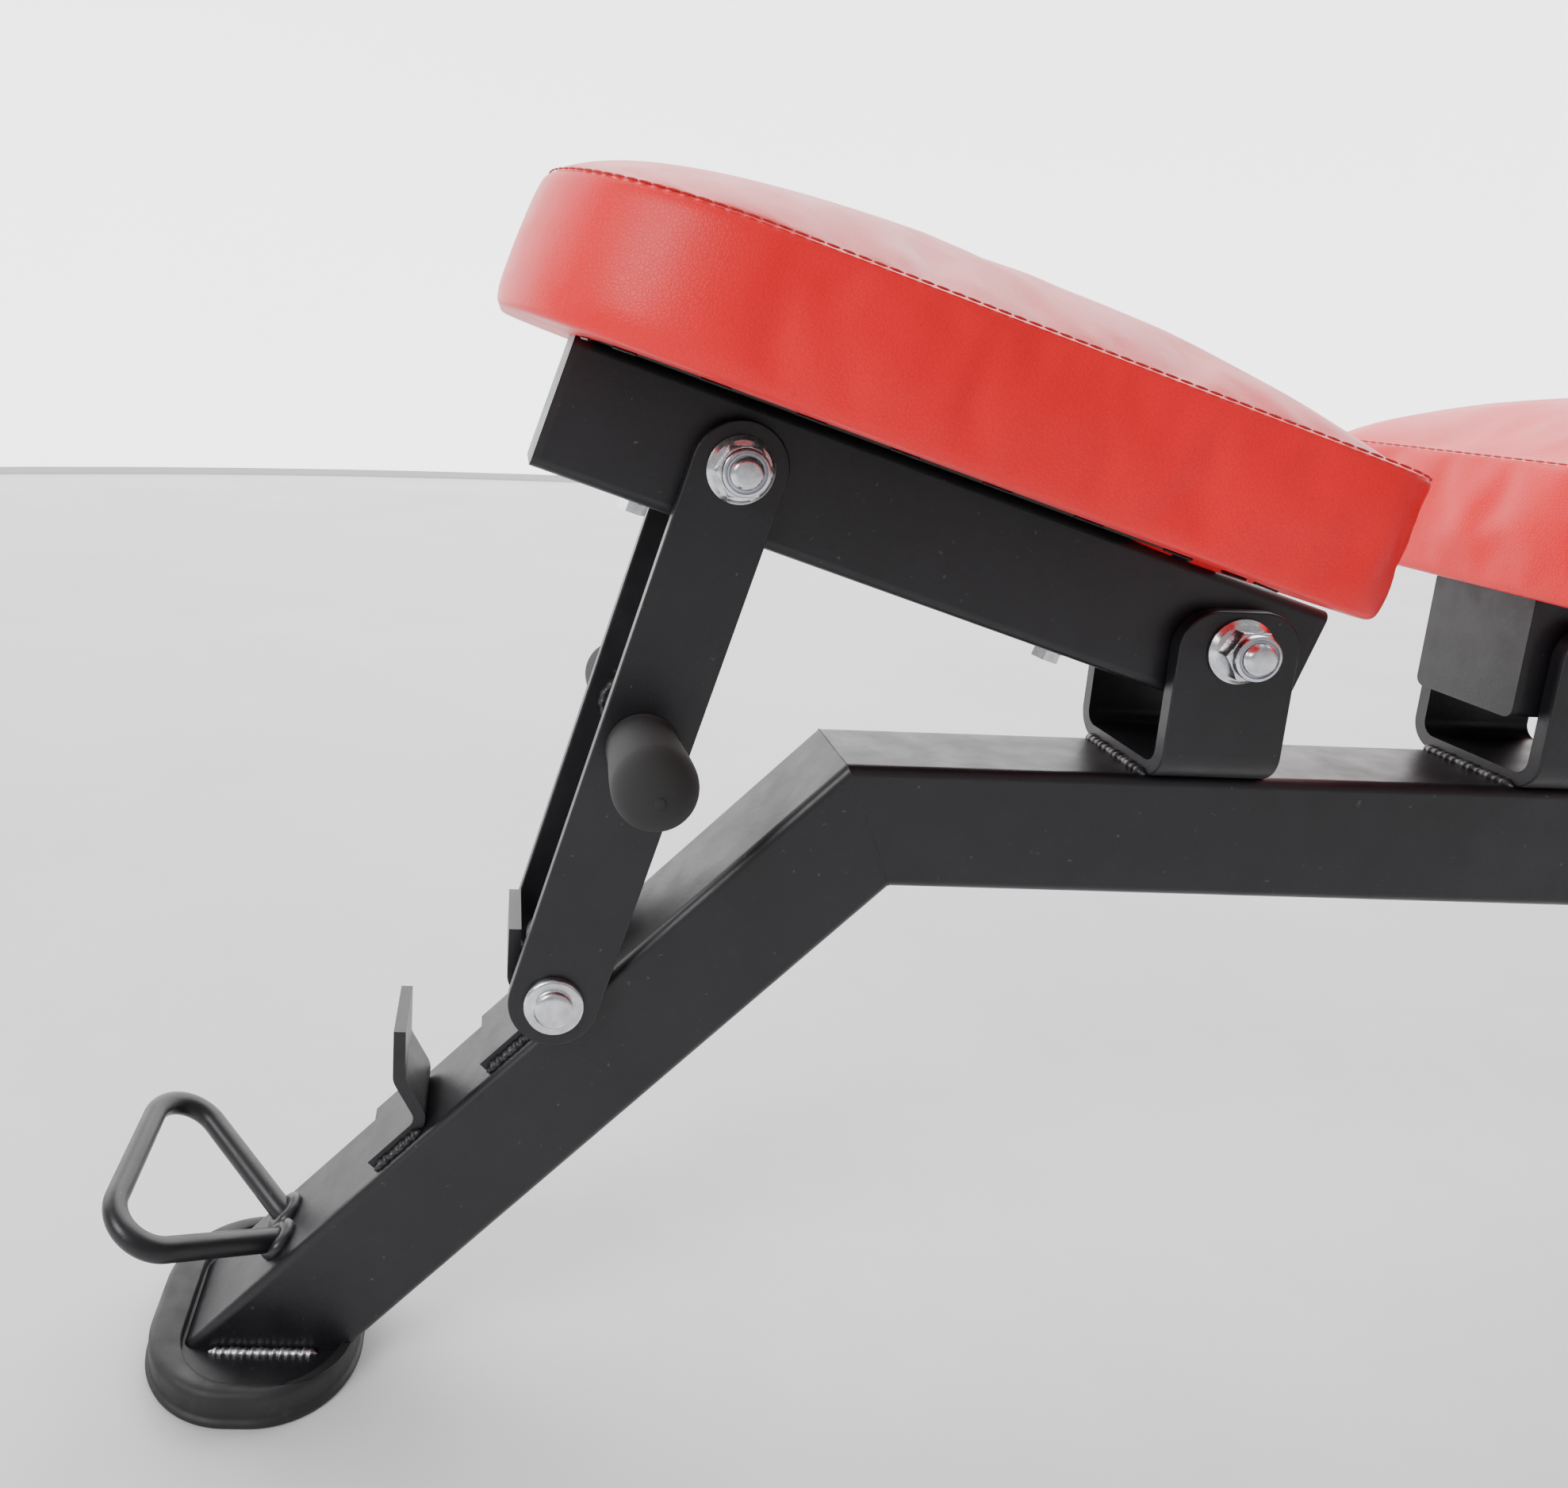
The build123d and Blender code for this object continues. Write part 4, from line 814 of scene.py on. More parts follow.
@dataclass
class Pad:
    """An upholstered pad: banded sides, a sewn seam, a crowned top and a margin stapled under the board.

    Args:
        name: What the pad is called in its pieces' names.
        prefix: How its CAD nodes' names begin.
        body: The body that it moves with.
        place: Axes of the pad's tube, x rearwards and z towards the pad.
        band: Height of the sides up to the seam.
        crown: How far the middle stands over the seam.
        radii: Plan radius of the front corners and of the rear ones.
        cells: Number of mesh cells along and across the top.
    """

    name: str
    prefix: str
    body: str
    place: Place
    band: float
    crown: float
    radii: tuple[float, float]
    cells: tuple[int, int]
    bulge: float = 0.9 * MM
    cap: float = 7.0 * MM
    margin: float = 42.0 * MM
    taper: float = 3.0 * MM
    stitch: float = 5.2 * MM
    stitch_half: float = 2.1 * MM
    thread: float = 0.40 * MM
    staple_pitch: float = 31.0 * MM
    staple_inset: float = 33.0 * MM
    staple_half: float = 5 * MM
    staple_wire: float = 0.55 * MM
    dome_reach: float = 125 * MM

    def __post_init__(self) -> None:
        """Reads the pad's outline from its CAD node."""
        low, high = extent(f"{self.prefix}_cushion", self.place)
        self.low, self.high = low[:2], high[:2]
        self.base = low[2]

    def shares(self, count: int) -> np.ndarray:
        """Shares from 0 to 1, close together at both ends so that the seam's edge is crisp."""
        edge = np.array([0.0, 0.0055, 0.016])
        middle = np.linspace(0.034, 0.966, count - 6)
        return np.concatenate([edge, middle, 1 - edge[::-1]])

    def sides(self, inset: float) -> list[np.ndarray]:
        """The outline's four sides, moved inwards by inset."""
        low, high = self.low + inset, self.high - inset
        radii = (max(self.radii[0] - inset, 2 * MM), max(self.radii[1] - inset, 2 * MM))
        return rounded_sides(low, high, radii, self.shares(self.cells[0]), self.shares(self.cells[1]))

    def sheet(self, inset: float) -> np.ndarray:
        """Plan points filling the outline: each side blended with the one facing it, less the corners."""
        a, b, c, d = self.sides(inset)
        c, d = c[::-1], d[::-1]
        s = self.shares(self.cells[0])[None, :, None]
        t = self.shares(self.cells[1])[:, None, None]
        ruled = (1 - t) * a[None] + t * c[None] + (1 - s) * d[:, None] + s * b[:, None]
        corners = (1 - s) * (1 - t) * a[0] + s * (1 - t) * a[-1] + (1 - s) * t * c[0] + s * t * c[-1]
        return ruled - corners

    def dome(self) -> np.ndarray:
        """Height over the seam: crown * (1 - (1 - d)^2.7)^0.8, d being the way in from the edge."""
        def inwards(share: np.ndarray, length: float) -> np.ndarray:
            """Rise from either end of a side towards its middle."""
            reach = np.minimum(share, 1 - share) * length / min(length / 2, self.dome_reach)
            return 1 - np.clip(1 - reach, 0, 1) ** 2.7
        s = inwards(self.shares(self.cells[0]), self.high[0] - self.low[0])
        t = inwards(self.shares(self.cells[1]), self.high[1] - self.low[1])
        return self.crown * (s[None] * t[:, None]) ** 0.8

    def side_rows(self) -> list[tuple[float, float]]:
        """Insets and heights of the rings, from the margin under the board round to the seam."""
        rows = [(self.margin, 0.6 * MM)] + [(i * MM, h * MM) for i, h in UNDER_ROWS]
        heights = np.linspace(6 * MM, self.band - 3.0 * MM, 8)
        rows += [(self.taper * h / self.band - self.bulge * math.sin(math.pi * h / self.band), h)
                 for h in heights]
        return rows + [(self.taper, self.band - 1.5 * MM), (self.taper + 0.5 * MM, self.band - 0.7 * MM)]

    def cover_shell(self) -> tuple[Shell, np.ndarray]:
        """The cover's closed surface in the pad's axes, and which of its points are held while it swells.

        Returns:
            The shell, and a share from 0 to 1 for each point.
        """
        nx, ny = self.cells
        top = self.sheet(self.taper + 1.3 * MM)
        bottom = self.sheet(self.margin)
        rings = [lifted(loop_of(self.sides(inset)), height) for inset, height in self.side_rows()]
        top_points = np.concatenate([top, (self.band - 1.1 * MM + self.dome())[..., None]], -1)
        bottom_points = lifted(bottom, 8 * MM)
        parts = [bottom_points.reshape(-1, 3), np.concatenate(rings), top_points.reshape(-1, 3)]
        points = np.concatenate(parts) + np.array([0, 0, self.base])
        grid = np.arange(nx * ny).reshape(ny, nx)
        ring_index = np.arange(len(rings) * len(rings[0])).reshape(len(rings), -1) + nx * ny
        top_grid = grid + nx * ny + ring_index.size
        sides = band_quads(np.vstack([sheet_edge(grid)[None], ring_index, sheet_edge(top_grid)[None]]))
        quads = np.concatenate([sheet_quads(grid)[:, ::-1], sides, sheet_quads(top_grid)])
        held = np.zeros(len(points))
        held[:nx * ny] = 1.0
        held[ring_index[:len(UNDER_ROWS) + 1]] = 1.0
        held[ring_index[-2:]] = 1.0
        held[sheet_edge(top_grid)] = 1.0
        return Shell(points, quads, np.zeros((0, 3), int)), held

    def swelled(self, piece: bpy.types.Object, held: np.ndarray) -> None:
        """Blows the cover up between its seams with a cloth simulation, and caps how far a point may move.

        Args:
            piece: The cover.
            held: The share by which each point is held in place.
        """
        rest = mesh_points(piece.data)
        group = piece.vertex_groups.new(name="held")
        group.add(np.flatnonzero(held > 0.5).tolist(), 1.0, "REPLACE")
        cloth = piece.modifiers.new("swell", "CLOTH")
        for setting, value in CLOTH_SETTINGS.items():
            setattr(cloth.settings, setting, value)
        cloth.settings.vertex_group_mass = "held"
        cloth.settings.effector_weights.gravity = 0.0
        cloth.collision_settings.use_collision = False
        cloth.point_cache.frame_start, cloth.point_cache.frame_end = 1, CLOTH_FRAMES
        scene = bpy.context.scene
        for step in range(1, CLOTH_FRAMES + 1):
            scene.frame_set(step)
        shape = piece.evaluated_get(bpy.context.evaluated_depsgraph_get()).to_mesh()
        move = mesh_points(shape) - rest
        piece.modifiers.remove(cloth)
        scene.frame_set(1)
        length = np.linalg.norm(move, axis=1, keepdims=True)
        move *= np.minimum(1.0, self.cap / np.maximum(length, 1e-9))
        LOG.info("%s swelled by up to %.1f mm", piece.name, 1000 * float(length.max()))
        piece.data.vertices.foreach_set("co", (rest + move).astype(np.float32).ravel())
        piece.data.update()

    def cover(self) -> bpy.types.Object:
        """Builds the vinyl cover, swells it and adds one subdivision."""
        shell, held = self.cover_shell()
        piece = shell.placed(self.place).piece(f"{self.name}_cover", 80.0)
        self.swelled(piece, held)
        smooth = piece.modifiers.new("smooth", "SUBSURF")
        smooth.levels = smooth.render_levels = 1
        dressed(piece, Finish.VINYL, self.body, "vinyl_red", f"{self.prefix}_cushion")
        return piece

    def seam_track(self, inset: float, height: float, pitch: float) -> tuple[np.ndarray, np.ndarray]:
        """Evenly spaced points round the pad.

        Args:
            inset: How far in from the outline they are.
            height: Their height over the pad's base.
            pitch: The spacing.

        Returns:
            The points, and the unit direction of travel at each.
        """
        low, high = self.low + inset, self.high - inset
        around = 2 * float((high - low).sum())
        plan = even_loop(low, high, (self.radii[0] - inset, self.radii[1] - inset), round(around / pitch))
        points = lifted(plan, self.base + height)
        return points, unit(np.roll(points, -1, 0) - np.roll(points, 1, 0))

    def stitches(self) -> bpy.types.Object:
        """A row of short thread stitches on the seam, each a long bead that dips at its ends."""
        centre, run = self.seam_track(self.taper + 0.55 * MM, self.band - 0.25 * MM, self.stitch)
        half = self.stitch_half
        thread = pipe(line_points((-half, 0, 0), (half, 0, 0), 6),
                      self.thread * np.array([0.45, 0.85, 1.0, 1.0, 0.85, 0.45]), UP, 8)
        piece = repeated(thread, centre, run).placed(self.place).piece(f"{self.name}_stitches")
        return dressed(piece, Finish.THREAD, self.body, "vinyl_red")

    def staples(self) -> bpy.types.Object:
        """Wire staples that hold the cover's margin to the board, none of them under the tube."""
        centre, run = self.seam_track(self.staple_inset, -0.95 * MM, self.staple_pitch)
        keep = np.abs(centre[:, 1]) > 30 * MM
        half = self.staple_half
        wire = pipe(line_points((-half, 0, 0), (half, 0, 0), 5), np.full(5, self.staple_wire), UP, 8)
        piece = repeated(wire, centre[keep], run[keep]).placed(self.place).piece(f"{self.name}_staples")
        return dressed(piece, Finish.WIRE, self.body, "plain_steel")

    def build(self) -> None:
        """Builds every piece of the pad."""
        self.cover()
        self.stitches()
        self.staples()


# ---------------------------------------------------------------------------------------------
# Struts and pivots
# ---------------------------------------------------------------------------------------------
@dataclass
class CrossBolt:
    """A bolt across the bench with its nut on the right and its head on the left.

    Args:
        prefix: How its two CAD nodes' names begin.
        body: The body that it moves with.
        centre: A point on its axis.
    """

    prefix: str
    body: str
    centre: np.ndarray
    fastener: FlangeFastener = FlangeFastener()

    def build(self) -> None:
        """Builds the nut with its ring, the threaded end and the head."""
        seat_y = extent(f"{self.prefix}_nut")[1][1]
        nut_seat = np.array([self.centre[0], seat_y, self.centre[2]])
        head_seat = np.array([self.centre[0], -seat_y, self.centre[2]])
        nut_place = side_place(nut_seat, -1.0)
        nut = self.fastener.nut().placed(nut_place).piece(f"{self.prefix}_lock_nut")
        dressed(nut, Finish.ZINC, self.body, "zinc", f"{self.prefix}_nut")
        dressed(self.fastener.insert().placed(nut_place).piece(f"{self.prefix}_nut_ring"), Finish.COLLAR,
                self.body, "zinc")
        radius = self.fastener.bolt / 2
        shank = lathe(np.array([(0.0, radius), (head_seat[1] - nut_seat[1], radius)]), 32)
        parts = [self.fastener.bolt_end().placed(nut_place), shank.placed(side_place(nut_seat, 1.0)),
                 self.fastener.head().placed(side_place(head_seat, 1.0))]
        dressed(joined(parts).piece(f"{self.prefix}_flange_bolt"), Finish.ZINC, self.body, "zinc",
                f"{self.prefix}_bolt")


@dataclass
class Strut:
    """A prop: two plates on a top bolt, with a cross pin, a handle tube and two knob grips.

    Args:
        prefix: How its CAD nodes' names begin.
        body: The body that it moves with.
        top: The top pivot's centre.
    """

    prefix: str
    body: str
    top: np.ndarray
    grip_length: float = 54 * MM
    grip_radius: float = 15.4 * MM
    neck_radius: float = 13.8 * MM
    pin_radius: float = 6 * MM
    weld_ring: float = 10.6 * MM
    weld: float = 1.9 * MM

    def __post_init__(self) -> None:
        """Reads the pin's and the handle's centres and the plates' outer faces from the CAD nodes."""
        self.pin = sum(extent(f"{self.prefix}_pin")) / 2
        self.handle = sum(extent(f"{self.prefix}_handle")) / 2
        self.outer = extent(f"{self.prefix}_left_plate")[1][1]
        self.inner = extent(f"{self.prefix}_left_plate")[0][1]

    def grip_shell(self) -> Shell:
        """Knob grip: a neck that swells by a smooth step to a full round end with a small nub."""
        share = np.linspace(0, 1, 30)
        swell = share ** 2 * (3 - 2 * share)
        straight = self.grip_length - self.grip_radius
        growth = self.grip_radius - self.neck_radius
        flank = np.stack([share * straight, self.neck_radius + growth * swell], -1)
        angle = np.linspace(0.06, math.pi / 2 - 0.16, 16)
        dome = np.stack([straight + self.grip_radius * np.sin(angle), self.grip_radius * np.cos(angle)], -1)
        tip = straight + self.grip_radius
        nub = np.array([(tip - 0.1 * MM, 2.0 * MM), (tip + 0.5 * MM, 1.7 * MM), (tip + 0.8 * MM, 0.9 * MM)])
        lip = np.array([(0.0, self.neck_radius - 0.8 * MM), (0.25 * MM, self.neck_radius + 0.35 * MM),
                        (1.4 * MM, self.neck_radius + 0.5 * MM), (2.2 * MM, self.neck_radius + 0.1 * MM)])
        return lathe(np.concatenate([lip, flank[2:], dome, nub]), 56)

    def build(self) -> None:
        """Builds the grips, pin heads, handle welds and the top bolt."""
        grips = []
        heads = []
        for side in (1.0, -1.0):
            grip_at = self.handle + [0, side * (self.outer + 0.1 * MM), 0]
            grips.append(self.grip_shell().placed(side_place(grip_at, side)))
            heads.append(PinHead().shell().placed(side_place(self.pin + [0, side * self.outer, 0], side)))
        dressed(joined(grips).piece(f"{self.prefix}_knob_grips"), Finish.GRIP, self.body, "grip_rubber",
                f"{self.prefix}_grips")
        shank = lathe(np.array([(0.0, self.pin_radius), (2 * self.outer, self.pin_radius)]), 32)
        heads.append(shank.placed(side_place(self.pin - [0, self.outer, 0], 1.0)))
        dressed(joined(heads).piece(f"{self.prefix}_cross_pin"), Finish.ZINC, self.body, "zinc",
                f"{self.prefix}_pin")
        welds = []
        for side in (1.0, -1.0):
            centre = self.handle + [0, side * (self.inner - 0.8 * MM), 0]
            ring = circle_points(centre, self.weld_ring * ALONG, self.weld_ring * UP, 96)
            welds.append(bead(ring, self.weld, ACROSS, endless=True, pitch=4.1 * MM))
        piece = joined(welds).piece(f"{self.prefix}_handle_welds")
        dressed(piece, Finish.WELD_COAT, self.body, "black_paint")
        CrossBolt(self.prefix, self.body, self.top).build()


# ---------------------------------------------------------------------------------------------
# Frame
# ---------------------------------------------------------------------------------------------
@dataclass
class FrontFoot:
    """Rubber boot round the front foot plate, and the bare weld beads beside the leg."""

    lip: float = 3.6 * MM
    around: int = 160
    outer_corner: float = 42 * MM
    inner_corner: float = 27 * MM
    play: float = 0.3 * MM
    weld: float = 1.9 * MM
    weld_side: float = 26.9 * MM
    weld_run: tuple = (-17 * MM, 29 * MM)

    def boot(self) -> bpy.types.Object:
        """Boot: a moulded profile carried round the outline, closed under the plate.

        Each row is an inset from the outline and a height: sole, rounded skirt, rim and recess wall.
        """
        low, high = extent("front_foot_boot")
        plate_low, plate_high = extent("front_foot_plate")
        top = high[2]
        edge = min(self.outer_corner, (high - low)[0] / 2 - 1 * MM)
        skirt = [(9.0, 0.0), (1.2, 0.0), (0.3, 0.5), (0.0, 1.4), (0.1, 2.6), (0.9, 3.3), (1.5, 3.7),
                 (1.6, 4.6)]
        angle = np.linspace(0, math.pi / 2, 9)
        rows = [(i * MM, h * MM) for i, h in skirt]
        rows += [(1.6 * MM + self.lip * (1 - math.cos(a)), top - self.lip * (1 - math.sin(a))) for a in angle]
        rings = []
        for inset, height in rows:
            plan = even_loop(low[:2] + inset, high[:2] - inset, (edge - inset, edge - inset), self.around)
            rings.append(lifted(plan, height))
        corners = (self.inner_corner, self.inner_corner)
        inner_low, inner_high = plate_low[:2] - self.play, plate_high[:2] + self.play
        for grow, height in ((0.5 * MM, top), (0.0, top - 0.5 * MM), (0.0, plate_low[2] + 0.2 * MM)):
            rings.append(lifted(even_loop(inner_low - grow, inner_high + grow, corners, self.around), height))
        piece = ring_shell(np.array(rings)).piece("front_rubber_boot", 50.0)
        return dressed(piece, Finish.BOOT, "frame", "foot_rubber", "front_foot_boot")

    def build(self) -> None:
        """Builds the boot and the beads."""
        self.boot()
        plate = extent("front_foot_plate")[1][2]
        beads = []
        for side in (1.0, -1.0):
            y, z = side * self.weld_side, plate + 0.5 * MM
            path = line_points((self.weld_run[0], y, z), (self.weld_run[1], y, z), 150)
            beads.append(bead(path, self.weld, UP, pitch=3.1 * MM))
        dressed(joined(beads).piece("front_foot_bare_welds"), Finish.BARE_WELD, "frame", "plain_steel")


@dataclass
class Weldments:
    """Painted weld beads where the frame's plates and tubes meet, and the fine lines of the mitres."""

    radius: float = 2.0 * MM
    bracket_half: float = 23.5 * MM
    hook_half: float = 18.9 * MM
    rise: float = 0.7 * MM
    loop_radius: float = 3.1 * MM
    loop_half: float = 6.2 * MM
    foot_radius: float = 2.4 * MM
    foot_corner: float = 5 * MM
    ear_radius: float = 1.9 * MM
    line_radius: float = 0.30 * MM
    tube_half: float = 25 * MM
    tube_corner: float = 4 * MM

    def __post_init__(self) -> None:
        """Reads the leg's top face and the beam's top from the CAD nodes."""
        self.beam_low, self.beam_high = extent("main_beam")
        self.top = self.beam_high[2]
        leg = node_points("front_leg")
        on_top = leg[leg[:, 2] > self.top - 0.1 * MM]
        self.knee = np.array([on_top[:, 0].min(), 0.0, self.top])
        foot = leg[leg[:, 2] < leg[:, 2].min() + 0.1 * MM]
        toe = np.array([foot[:, 0].min(), 0.0, leg[:, 2].min()])
        self.leg = run_place(self.knee, toe)
        if self.leg.z[2] < 0:
            self.leg = Place(self.knee, self.leg.x, -self.leg.z)

    def bracket_beads(self) -> list[Shell]:
        """Beads across the beam along both edges of each pivot bracket."""
        beads = []
        for node in ("seat_bracket", "back_bracket"):
            low, high = extent(node)
            z = self.top + 0.5 * MM
            for x in (low[0] - 0.8 * MM, high[0] + 0.8 * MM):
                path = line_points((x, -self.bracket_half, z), (x, self.bracket_half, z), 140)
                beads.append(bead(path, self.radius, UP))
        return beads

    def hook_beads(self) -> list[Shell]:
        """Beads along both sides of each hook plate's foot, on the leg and on the beam."""
        beads = []
        points = self.leg.into(node_points("seat_hooks"))
        feet = points[points[:, 2] < 0.3 * MM]
        for low, high in spans(feet[:, 0], 30 * MM):
            for y in (-self.hook_half, self.hook_half):
                path = self.leg.out(line_points((low, y, self.rise), (high, y, self.rise), 90))
                beads.append(bead(path, self.radius * 0.95, self.leg.z))
        points = node_points("back_hooks")
        feet = points[points[:, 2] < self.top + 0.3 * MM]
        for low, high in spans(feet[:, 0], 30 * MM):
            for y in (-self.hook_half, self.hook_half):
                path = line_points((low, y, self.top + self.rise), (high, y, self.top + self.rise), 70)
                beads.append(bead(path, self.radius * 0.95, UP))
        return beads

    def loop_beads(self) -> list[Shell]:
        """Lumpy beads round each end of the lift handle's rod."""
        points = self.leg.into(node_points("lift_handle"))
        feet = points[points[:, 2] < 1.5 * MM]
        middle = feet[:, 0].mean()
        beads = []
        for side in (1.0, -1.0):
            own = feet[feet[:, 1] * side > 0]
            centre = np.array([middle, own[:, 1].mean(), 1.2 * MM])
            reach = (own[:, 0].max() - own[:, 0].min()) / 2 + 0.6 * MM
            ring = circle_points(centre, reach * ALONG, self.loop_half * ACROSS, 110)
            beads.append(bead(self.leg.out(ring), self.loop_radius, self.leg.z, endless=True, pitch=4.2 * MM,
                              swell=0.06))
        return beads

    def rear_beads(self) -> list[Shell]:
        """Beads round the rear leg's foot and down the wheel ears' roots."""
        plate = extent("rear_foot_plate")[1][2]
        foot = node_points("rear_leg")
        foot = foot[foot[:, 2] < plate + 0.2 * MM]
        corners = (self.foot_corner, self.foot_corner)
        ring = even_loop(foot.min(0)[:2] - 0.8 * MM, foot.max(0)[:2] + 0.8 * MM, corners, 420)
        beads = [bead(lifted(ring, plate + 0.8 * MM), self.foot_radius, UP, endless=True)]
        ears = node_points("wheel_ears")
        roots = ears[ears[:, 0] < ears[:, 0].min() + 0.2 * MM]
        x = roots[0, 0] + 0.6 * MM
        for y in np.unique(np.round(roots[:, 1], 4)):
            path = line_points((x, y, roots[:, 2].min() + 1 * MM), (x, y, roots[:, 2].max() - 1 * MM), 120)
            beads.append(bead(path, self.ear_radius, ALONG))
        return beads

    def mitre_line(self, pick: Callable) -> Shell:
        """The hairline where a leg meets the beam: a fine thread round their shared section.

        Args:
            pick: np.min for the beam's front end, np.max for its rear end.

        Returns:
            The closed shell.
        """
        beam = node_points("main_beam")
        edge_top = beam[np.abs(beam[:, 2] - self.top) < 0.1 * MM]
        edge_low = beam[np.abs(beam[:, 2] - self.beam_low[2]) < 0.1 * MM]
        top_x, low_x = pick(edge_top[:, 0]), pick(edge_low[:, 0])
        tilt = np.array([top_x - low_x, 0.0, self.top - self.beam_low[2]])
        half = np.linalg.norm(tilt) / 2
        centre = np.array([(top_x + low_x) / 2, 0.0, (self.top + self.beam_low[2]) / 2])
        reach = np.array([half, self.tube_half])
        ring = even_loop(-reach, reach, (self.tube_corner, self.tube_corner), 260)
        path = centre + ring[:, :1] * tilt / (2 * half) + ring[:, 1:] * ACROSS
        return pipe(path, np.full(len(path), self.line_radius), np.cross(tilt, ACROSS), 6, endless=True)

    def build(self) -> None:
        """Builds the beads and the mitre lines."""
        groups = {"bracket_welds": self.bracket_beads(), "hook_welds": self.hook_beads(),
                  "lift_handle_welds": self.loop_beads(), "rear_foot_welds": self.rear_beads()}
        for name, shells in groups.items():
            dressed(joined(shells).piece(name), Finish.WELD_COAT, "frame", "black_paint")
        lines = [self.mitre_line(np.min), self.mitre_line(np.max)]
        dressed(joined(lines).piece("mitre_lines"), Finish.BOOT, "frame", "black_paint")


def spans(values: np.ndarray, gap: float) -> list[tuple[float, float]]:
    """Stretches of values with no hole wider than gap in them."""
    ordered = np.sort(values)
    groups = np.split(ordered, np.flatnonzero(np.diff(ordered) > gap) + 1)
    return [(g[0], g[-1]) for g in groups if g[-1] - g[0] > 4 * MM]


@dataclass
class Wheel:
    """A transport wheel's tyre: rounded shoulders with shallow tread grooves across it."""

    side: str
    grooves: int = 32
    depth: float = 1.1 * MM
    wall: float = 11 * MM
    shoulder: float = 6 * MM

    def build(self) -> None:
        """Builds the tyre: the radius falls by depth in each groove, fading at the shoulders."""
        node = f"wheel_{self.side}_tyre"
        low, high = extent(node)
        centre, width = (low + high) / 2, (high[1] - low[1])
        outer = (high[0] - low[0]) / 2
        angle = angles(self.grooves * 8)
        across = np.linspace(-1, 1, 25)
        bend = np.clip((np.abs(across) - 0.54) / 0.46, 0, 1)
        crown = outer - self.shoulder * (1 - np.sqrt(1 - bend ** 2))
        wave = np.clip(2.4 * np.cos(angle * self.grooves) - 1.4, 0, 1)
        fade = np.clip((np.abs(across) - 0.22) / 0.15, 0, 1)
        radius = crown[:, None] - self.depth * wave[None] * fade[:, None]
        tread = turned(radius, angle, (across * width / 2)[:, None])
        bore = turned(outer - self.wall, angle, np.array([[width / 2], [-width / 2]]) * 0.98)
        shell = ring_shell(np.concatenate([tread, bore]), endless=True)
        piece = shell.placed(side_place(centre, 1.0)).piece(f"wheel_{self.side}_tread", 30.0)
        dressed(piece, Finish.TYRE, f"wheel_{self.side}", "tyre_rubber", node)


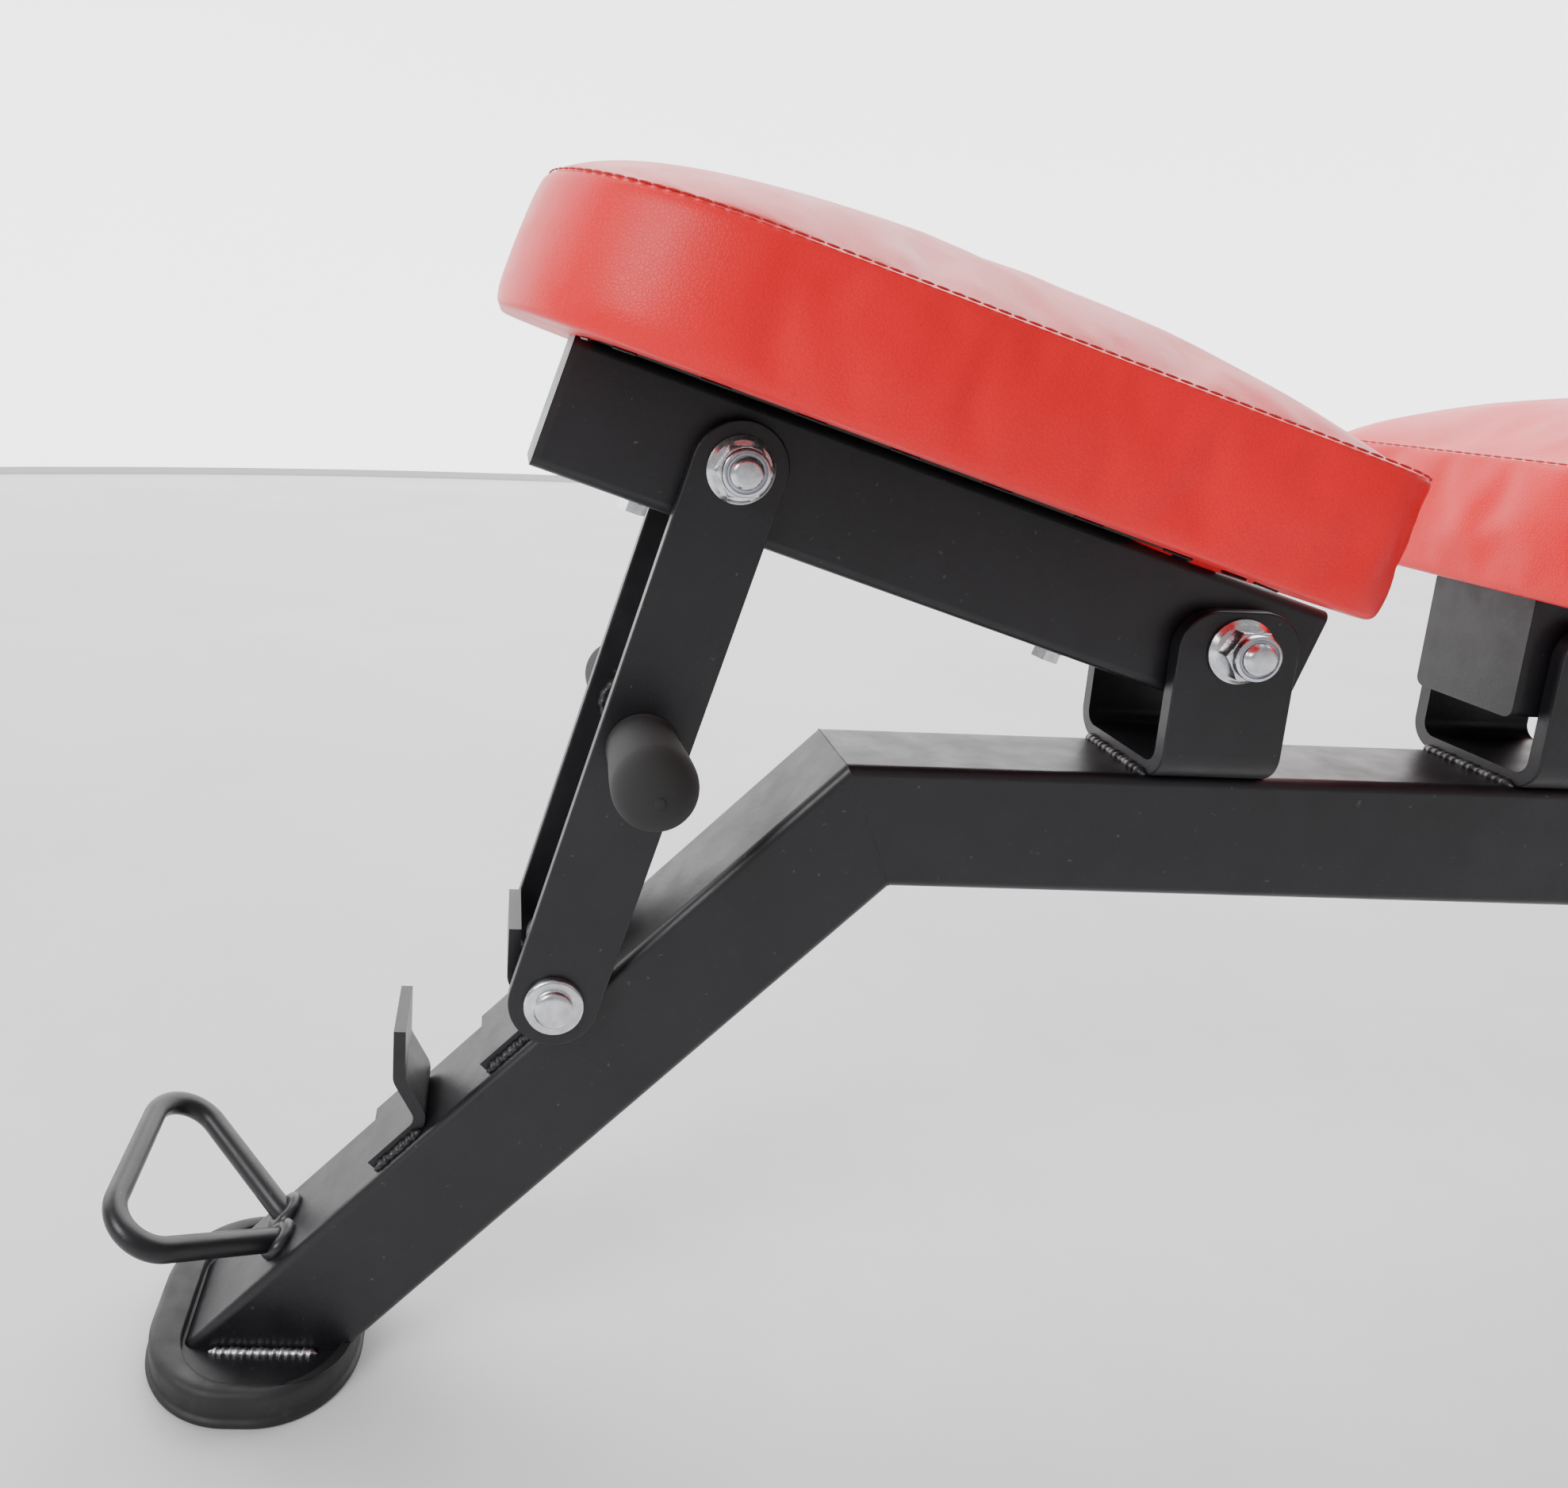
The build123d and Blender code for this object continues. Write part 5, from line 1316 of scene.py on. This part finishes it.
# ---------------------------------------------------------------------------------------------
# Studio
# ---------------------------------------------------------------------------------------------
@dataclass(frozen=True)
class Studio:
    """Pale floor, soft lights and the camera."""

    eye: tuple = (0.0951, -0.4618, 0.4352)
    yaw: float = 0.03597
    pitch: float = -0.20451
    roll: float = 0.04487
    lens: float = 27.56
    shift: tuple = (0.1528, -0.0970)
    floor_half: float = 9.0
    wall: float = 4.6
    wall_glow: float = 2.6
    sky: float = 0.42
    middle: tuple = (0.4, 0.0, 0.3)

    def aimed(self, made: bpy.types.Object, *columns: np.ndarray) -> bpy.types.Object:
        """Gives an object its three axes and its place, and gives it back."""
        made.matrix_world = Matrix([[column[i] for column in columns] for i in range(3)] + [[0, 0, 0, 1]])
        return made

    def sheet(self, name: str, points: np.ndarray, material: bpy.types.Material) -> bpy.types.Object:
        """Makes a sheet of four-sided faces.

        Args:
            name: Its name.
            points: Points in rows and columns.
            material: Its material.

        Returns:
            The new object.
        """
        mesh = bpy.data.meshes.new(name)
        grid = np.arange(points[..., 0].size).reshape(points.shape[:2])
        mesh.from_pydata(points.reshape(-1, 3).tolist(), [], sheet_quads(grid).tolist())
        mesh.materials.append(material)
        return linked(name, mesh)

    def camera(self) -> None:
        """Makes the camera: it looks along yaw and pitch and is then rolled."""
        flat = math.cos(self.pitch)
        forward = np.array([math.sin(self.yaw) * flat, math.cos(self.yaw) * flat, math.sin(self.pitch)])
        level = np.array([math.cos(self.yaw), -math.sin(self.yaw), 0.0])
        down = np.cross(forward, level)
        right = math.cos(self.roll) * level - math.sin(self.roll) * down
        below = math.cos(self.roll) * down + math.sin(self.roll) * level
        data = bpy.data.cameras.new("camera")
        data.sensor_width = 36.0
        data.lens = self.lens
        data.shift_x, data.shift_y = self.shift
        data.clip_start = 0.01
        bpy.context.scene.camera = self.aimed(linked("camera", data), right, -below, -forward, self.eye)

    def floor(self) -> None:
        """Makes the floor, a wide pale sheet with a faint grain."""
        share = np.linspace(-1, 1, 9) * self.floor_half
        x, y = np.meshgrid(share, share)
        board = NodeBoard("pale_floor")
        colour = board.ramp(board.noise(3.0), 0.3, 0.7, (0.66, 0.66, 0.67), (0.72, 0.72, 0.725))
        rough = board.spread(board.noise(40), 0.3, 0.7, 0.6, 0.75)
        material = board.done(colour, rough, board.bump(board.noise(500), 0.0001, 0.3))
        made = self.sheet("floor", np.stack([x, y, np.zeros_like(x)], -1), material)

    def backdrop(self) -> None:
        """Makes a bright wall behind the bench, its sheet curved towards the bench at the sides."""
        across = np.linspace(-1.05, 1.05, 33)
        height = np.linspace(0.02, 4.2, 5)
        a, h = np.meshgrid(across, height)
        points = np.stack([0.5 + self.wall * np.sin(a), self.wall * np.cos(a) - 1.2, h], -1)
        board = NodeBoard("bright_wall")
        colour = board.ramp(board.noise(1.5), 0.3, 0.7, (0.86, 0.86, 0.87), (0.90, 0.90, 0.90))
        rough = board.spread(board.noise(30), 0.3, 0.7, 0.8, 0.9)
        board.fixed(Emission_Color=(1.0, 1.0, 1.0, 1.0), Emission_Strength=self.wall_glow)
        material = board.done(colour, rough, board.bump(board.noise(200), 0.0001, 0.2))
        made = self.sheet("backdrop", points, material)

    def light(self, name: str, at: tuple, towards: tuple, size: float, power: float) -> None:
        """Makes one square area light.

        Args:
            name: Its name.
            at: Where it is.
            towards: The point that it faces.
            size: Length of its sides.
            power: Watts.
        """
        data = bpy.data.lights.new(name, "AREA")
        data.size = size
        data.energy = power
        back = unit(np.array(at) - np.array(towards))
        side = unit(np.cross(UP, back))
        self.aimed(linked(name, data), side, np.cross(back, side), back, at)

    def build(self) -> None:
        """Makes the camera, the floor, the sky, the backdrop and the lights."""
        self.camera()
        self.floor()
        world = bpy.data.worlds.new("studio")
        world.use_nodes = True
        sky = world.node_tree.nodes["Background"]
        sky.inputs["Color"].default_value = (1.0, 1.0, 1.0, 1.0)
        sky.inputs["Strength"].default_value = self.sky
        bpy.context.scene.world = world
        self.backdrop()
        self.light("key", (-1.6, -1.7, 1.9), self.middle, 1.3, 62.0)
        self.light("top", (0.7, 1.2, 2.4), self.middle, 2.2, 60.0)


# ---------------------------------------------------------------------------------------------
# The bench
# ---------------------------------------------------------------------------------------------
@dataclass
class Bench:
    """The whole bench: dresses the CAD nodes and builds the sub-assemblies in order."""

    def dress_nodes(self) -> None:
        """Gives every CAD node the finish of its record slot."""
        slots = {s["node"]: s["material_slot"] for s in frame["record"]["subparts"]}
        for name, node in frame["nodes"].items():
            node.data.materials.clear()
            node.data.materials.append(SLOT_FINISH[slots[name]].material())
            LOG.info("CAD node %s: %s", name, slots[name])

    def pads(self) -> list[Pad]:
        """The seat pad and the backrest pad, each in its tube's axes."""
        seat_pivot, seat_top = JOINT_POINTS["seat_hinge"], JOINT_POINTS["seat_strut_hinge"]
        back_pivot, back_top = JOINT_POINTS["backrest_hinge"], JOINT_POINTS["backrest_strut_hinge"]
        seat_axes = run_place(seat_top, seat_pivot)
        seat_place = Place(seat_pivot, seat_axes.x, seat_axes.z)
        return [
            Pad("seat_pad", "seat", "seat", seat_place, 45 * MM, 21 * MM, (72 * MM, 22 * MM), (58, 50)),
            Pad("backrest_pad", "back", "backrest", run_place(back_pivot, back_top), 50 * MM, 19 * MM,
                (72 * MM, 72 * MM), (112, 44)),
        ]

    def build(self) -> None:
        """Builds the bench."""
        self.dress_nodes()
        for pad in self.pads():
            pad.build()
        Strut("seat_strut", "seat_strut", JOINT_POINTS["seat_strut_hinge"]).build()
        Strut("back_strut", "backrest_strut", JOINT_POINTS["backrest_strut_hinge"]).build()
        CrossBolt("seat_pivot", "frame", JOINT_POINTS["seat_hinge"]).build()
        CrossBolt("back_pivot", "frame", JOINT_POINTS["backrest_hinge"]).build()
        FrontFoot().build()
        Weldments().build()
        for side in ("left", "right"):
            Wheel(side).build()


def main() -> None:
    """Builds the studio and the bench."""
    logging.basicConfig(level=logging.INFO, format="%(message)s")
    Studio().build()
    Bench().build()


if __name__ == "__main__":
    main()
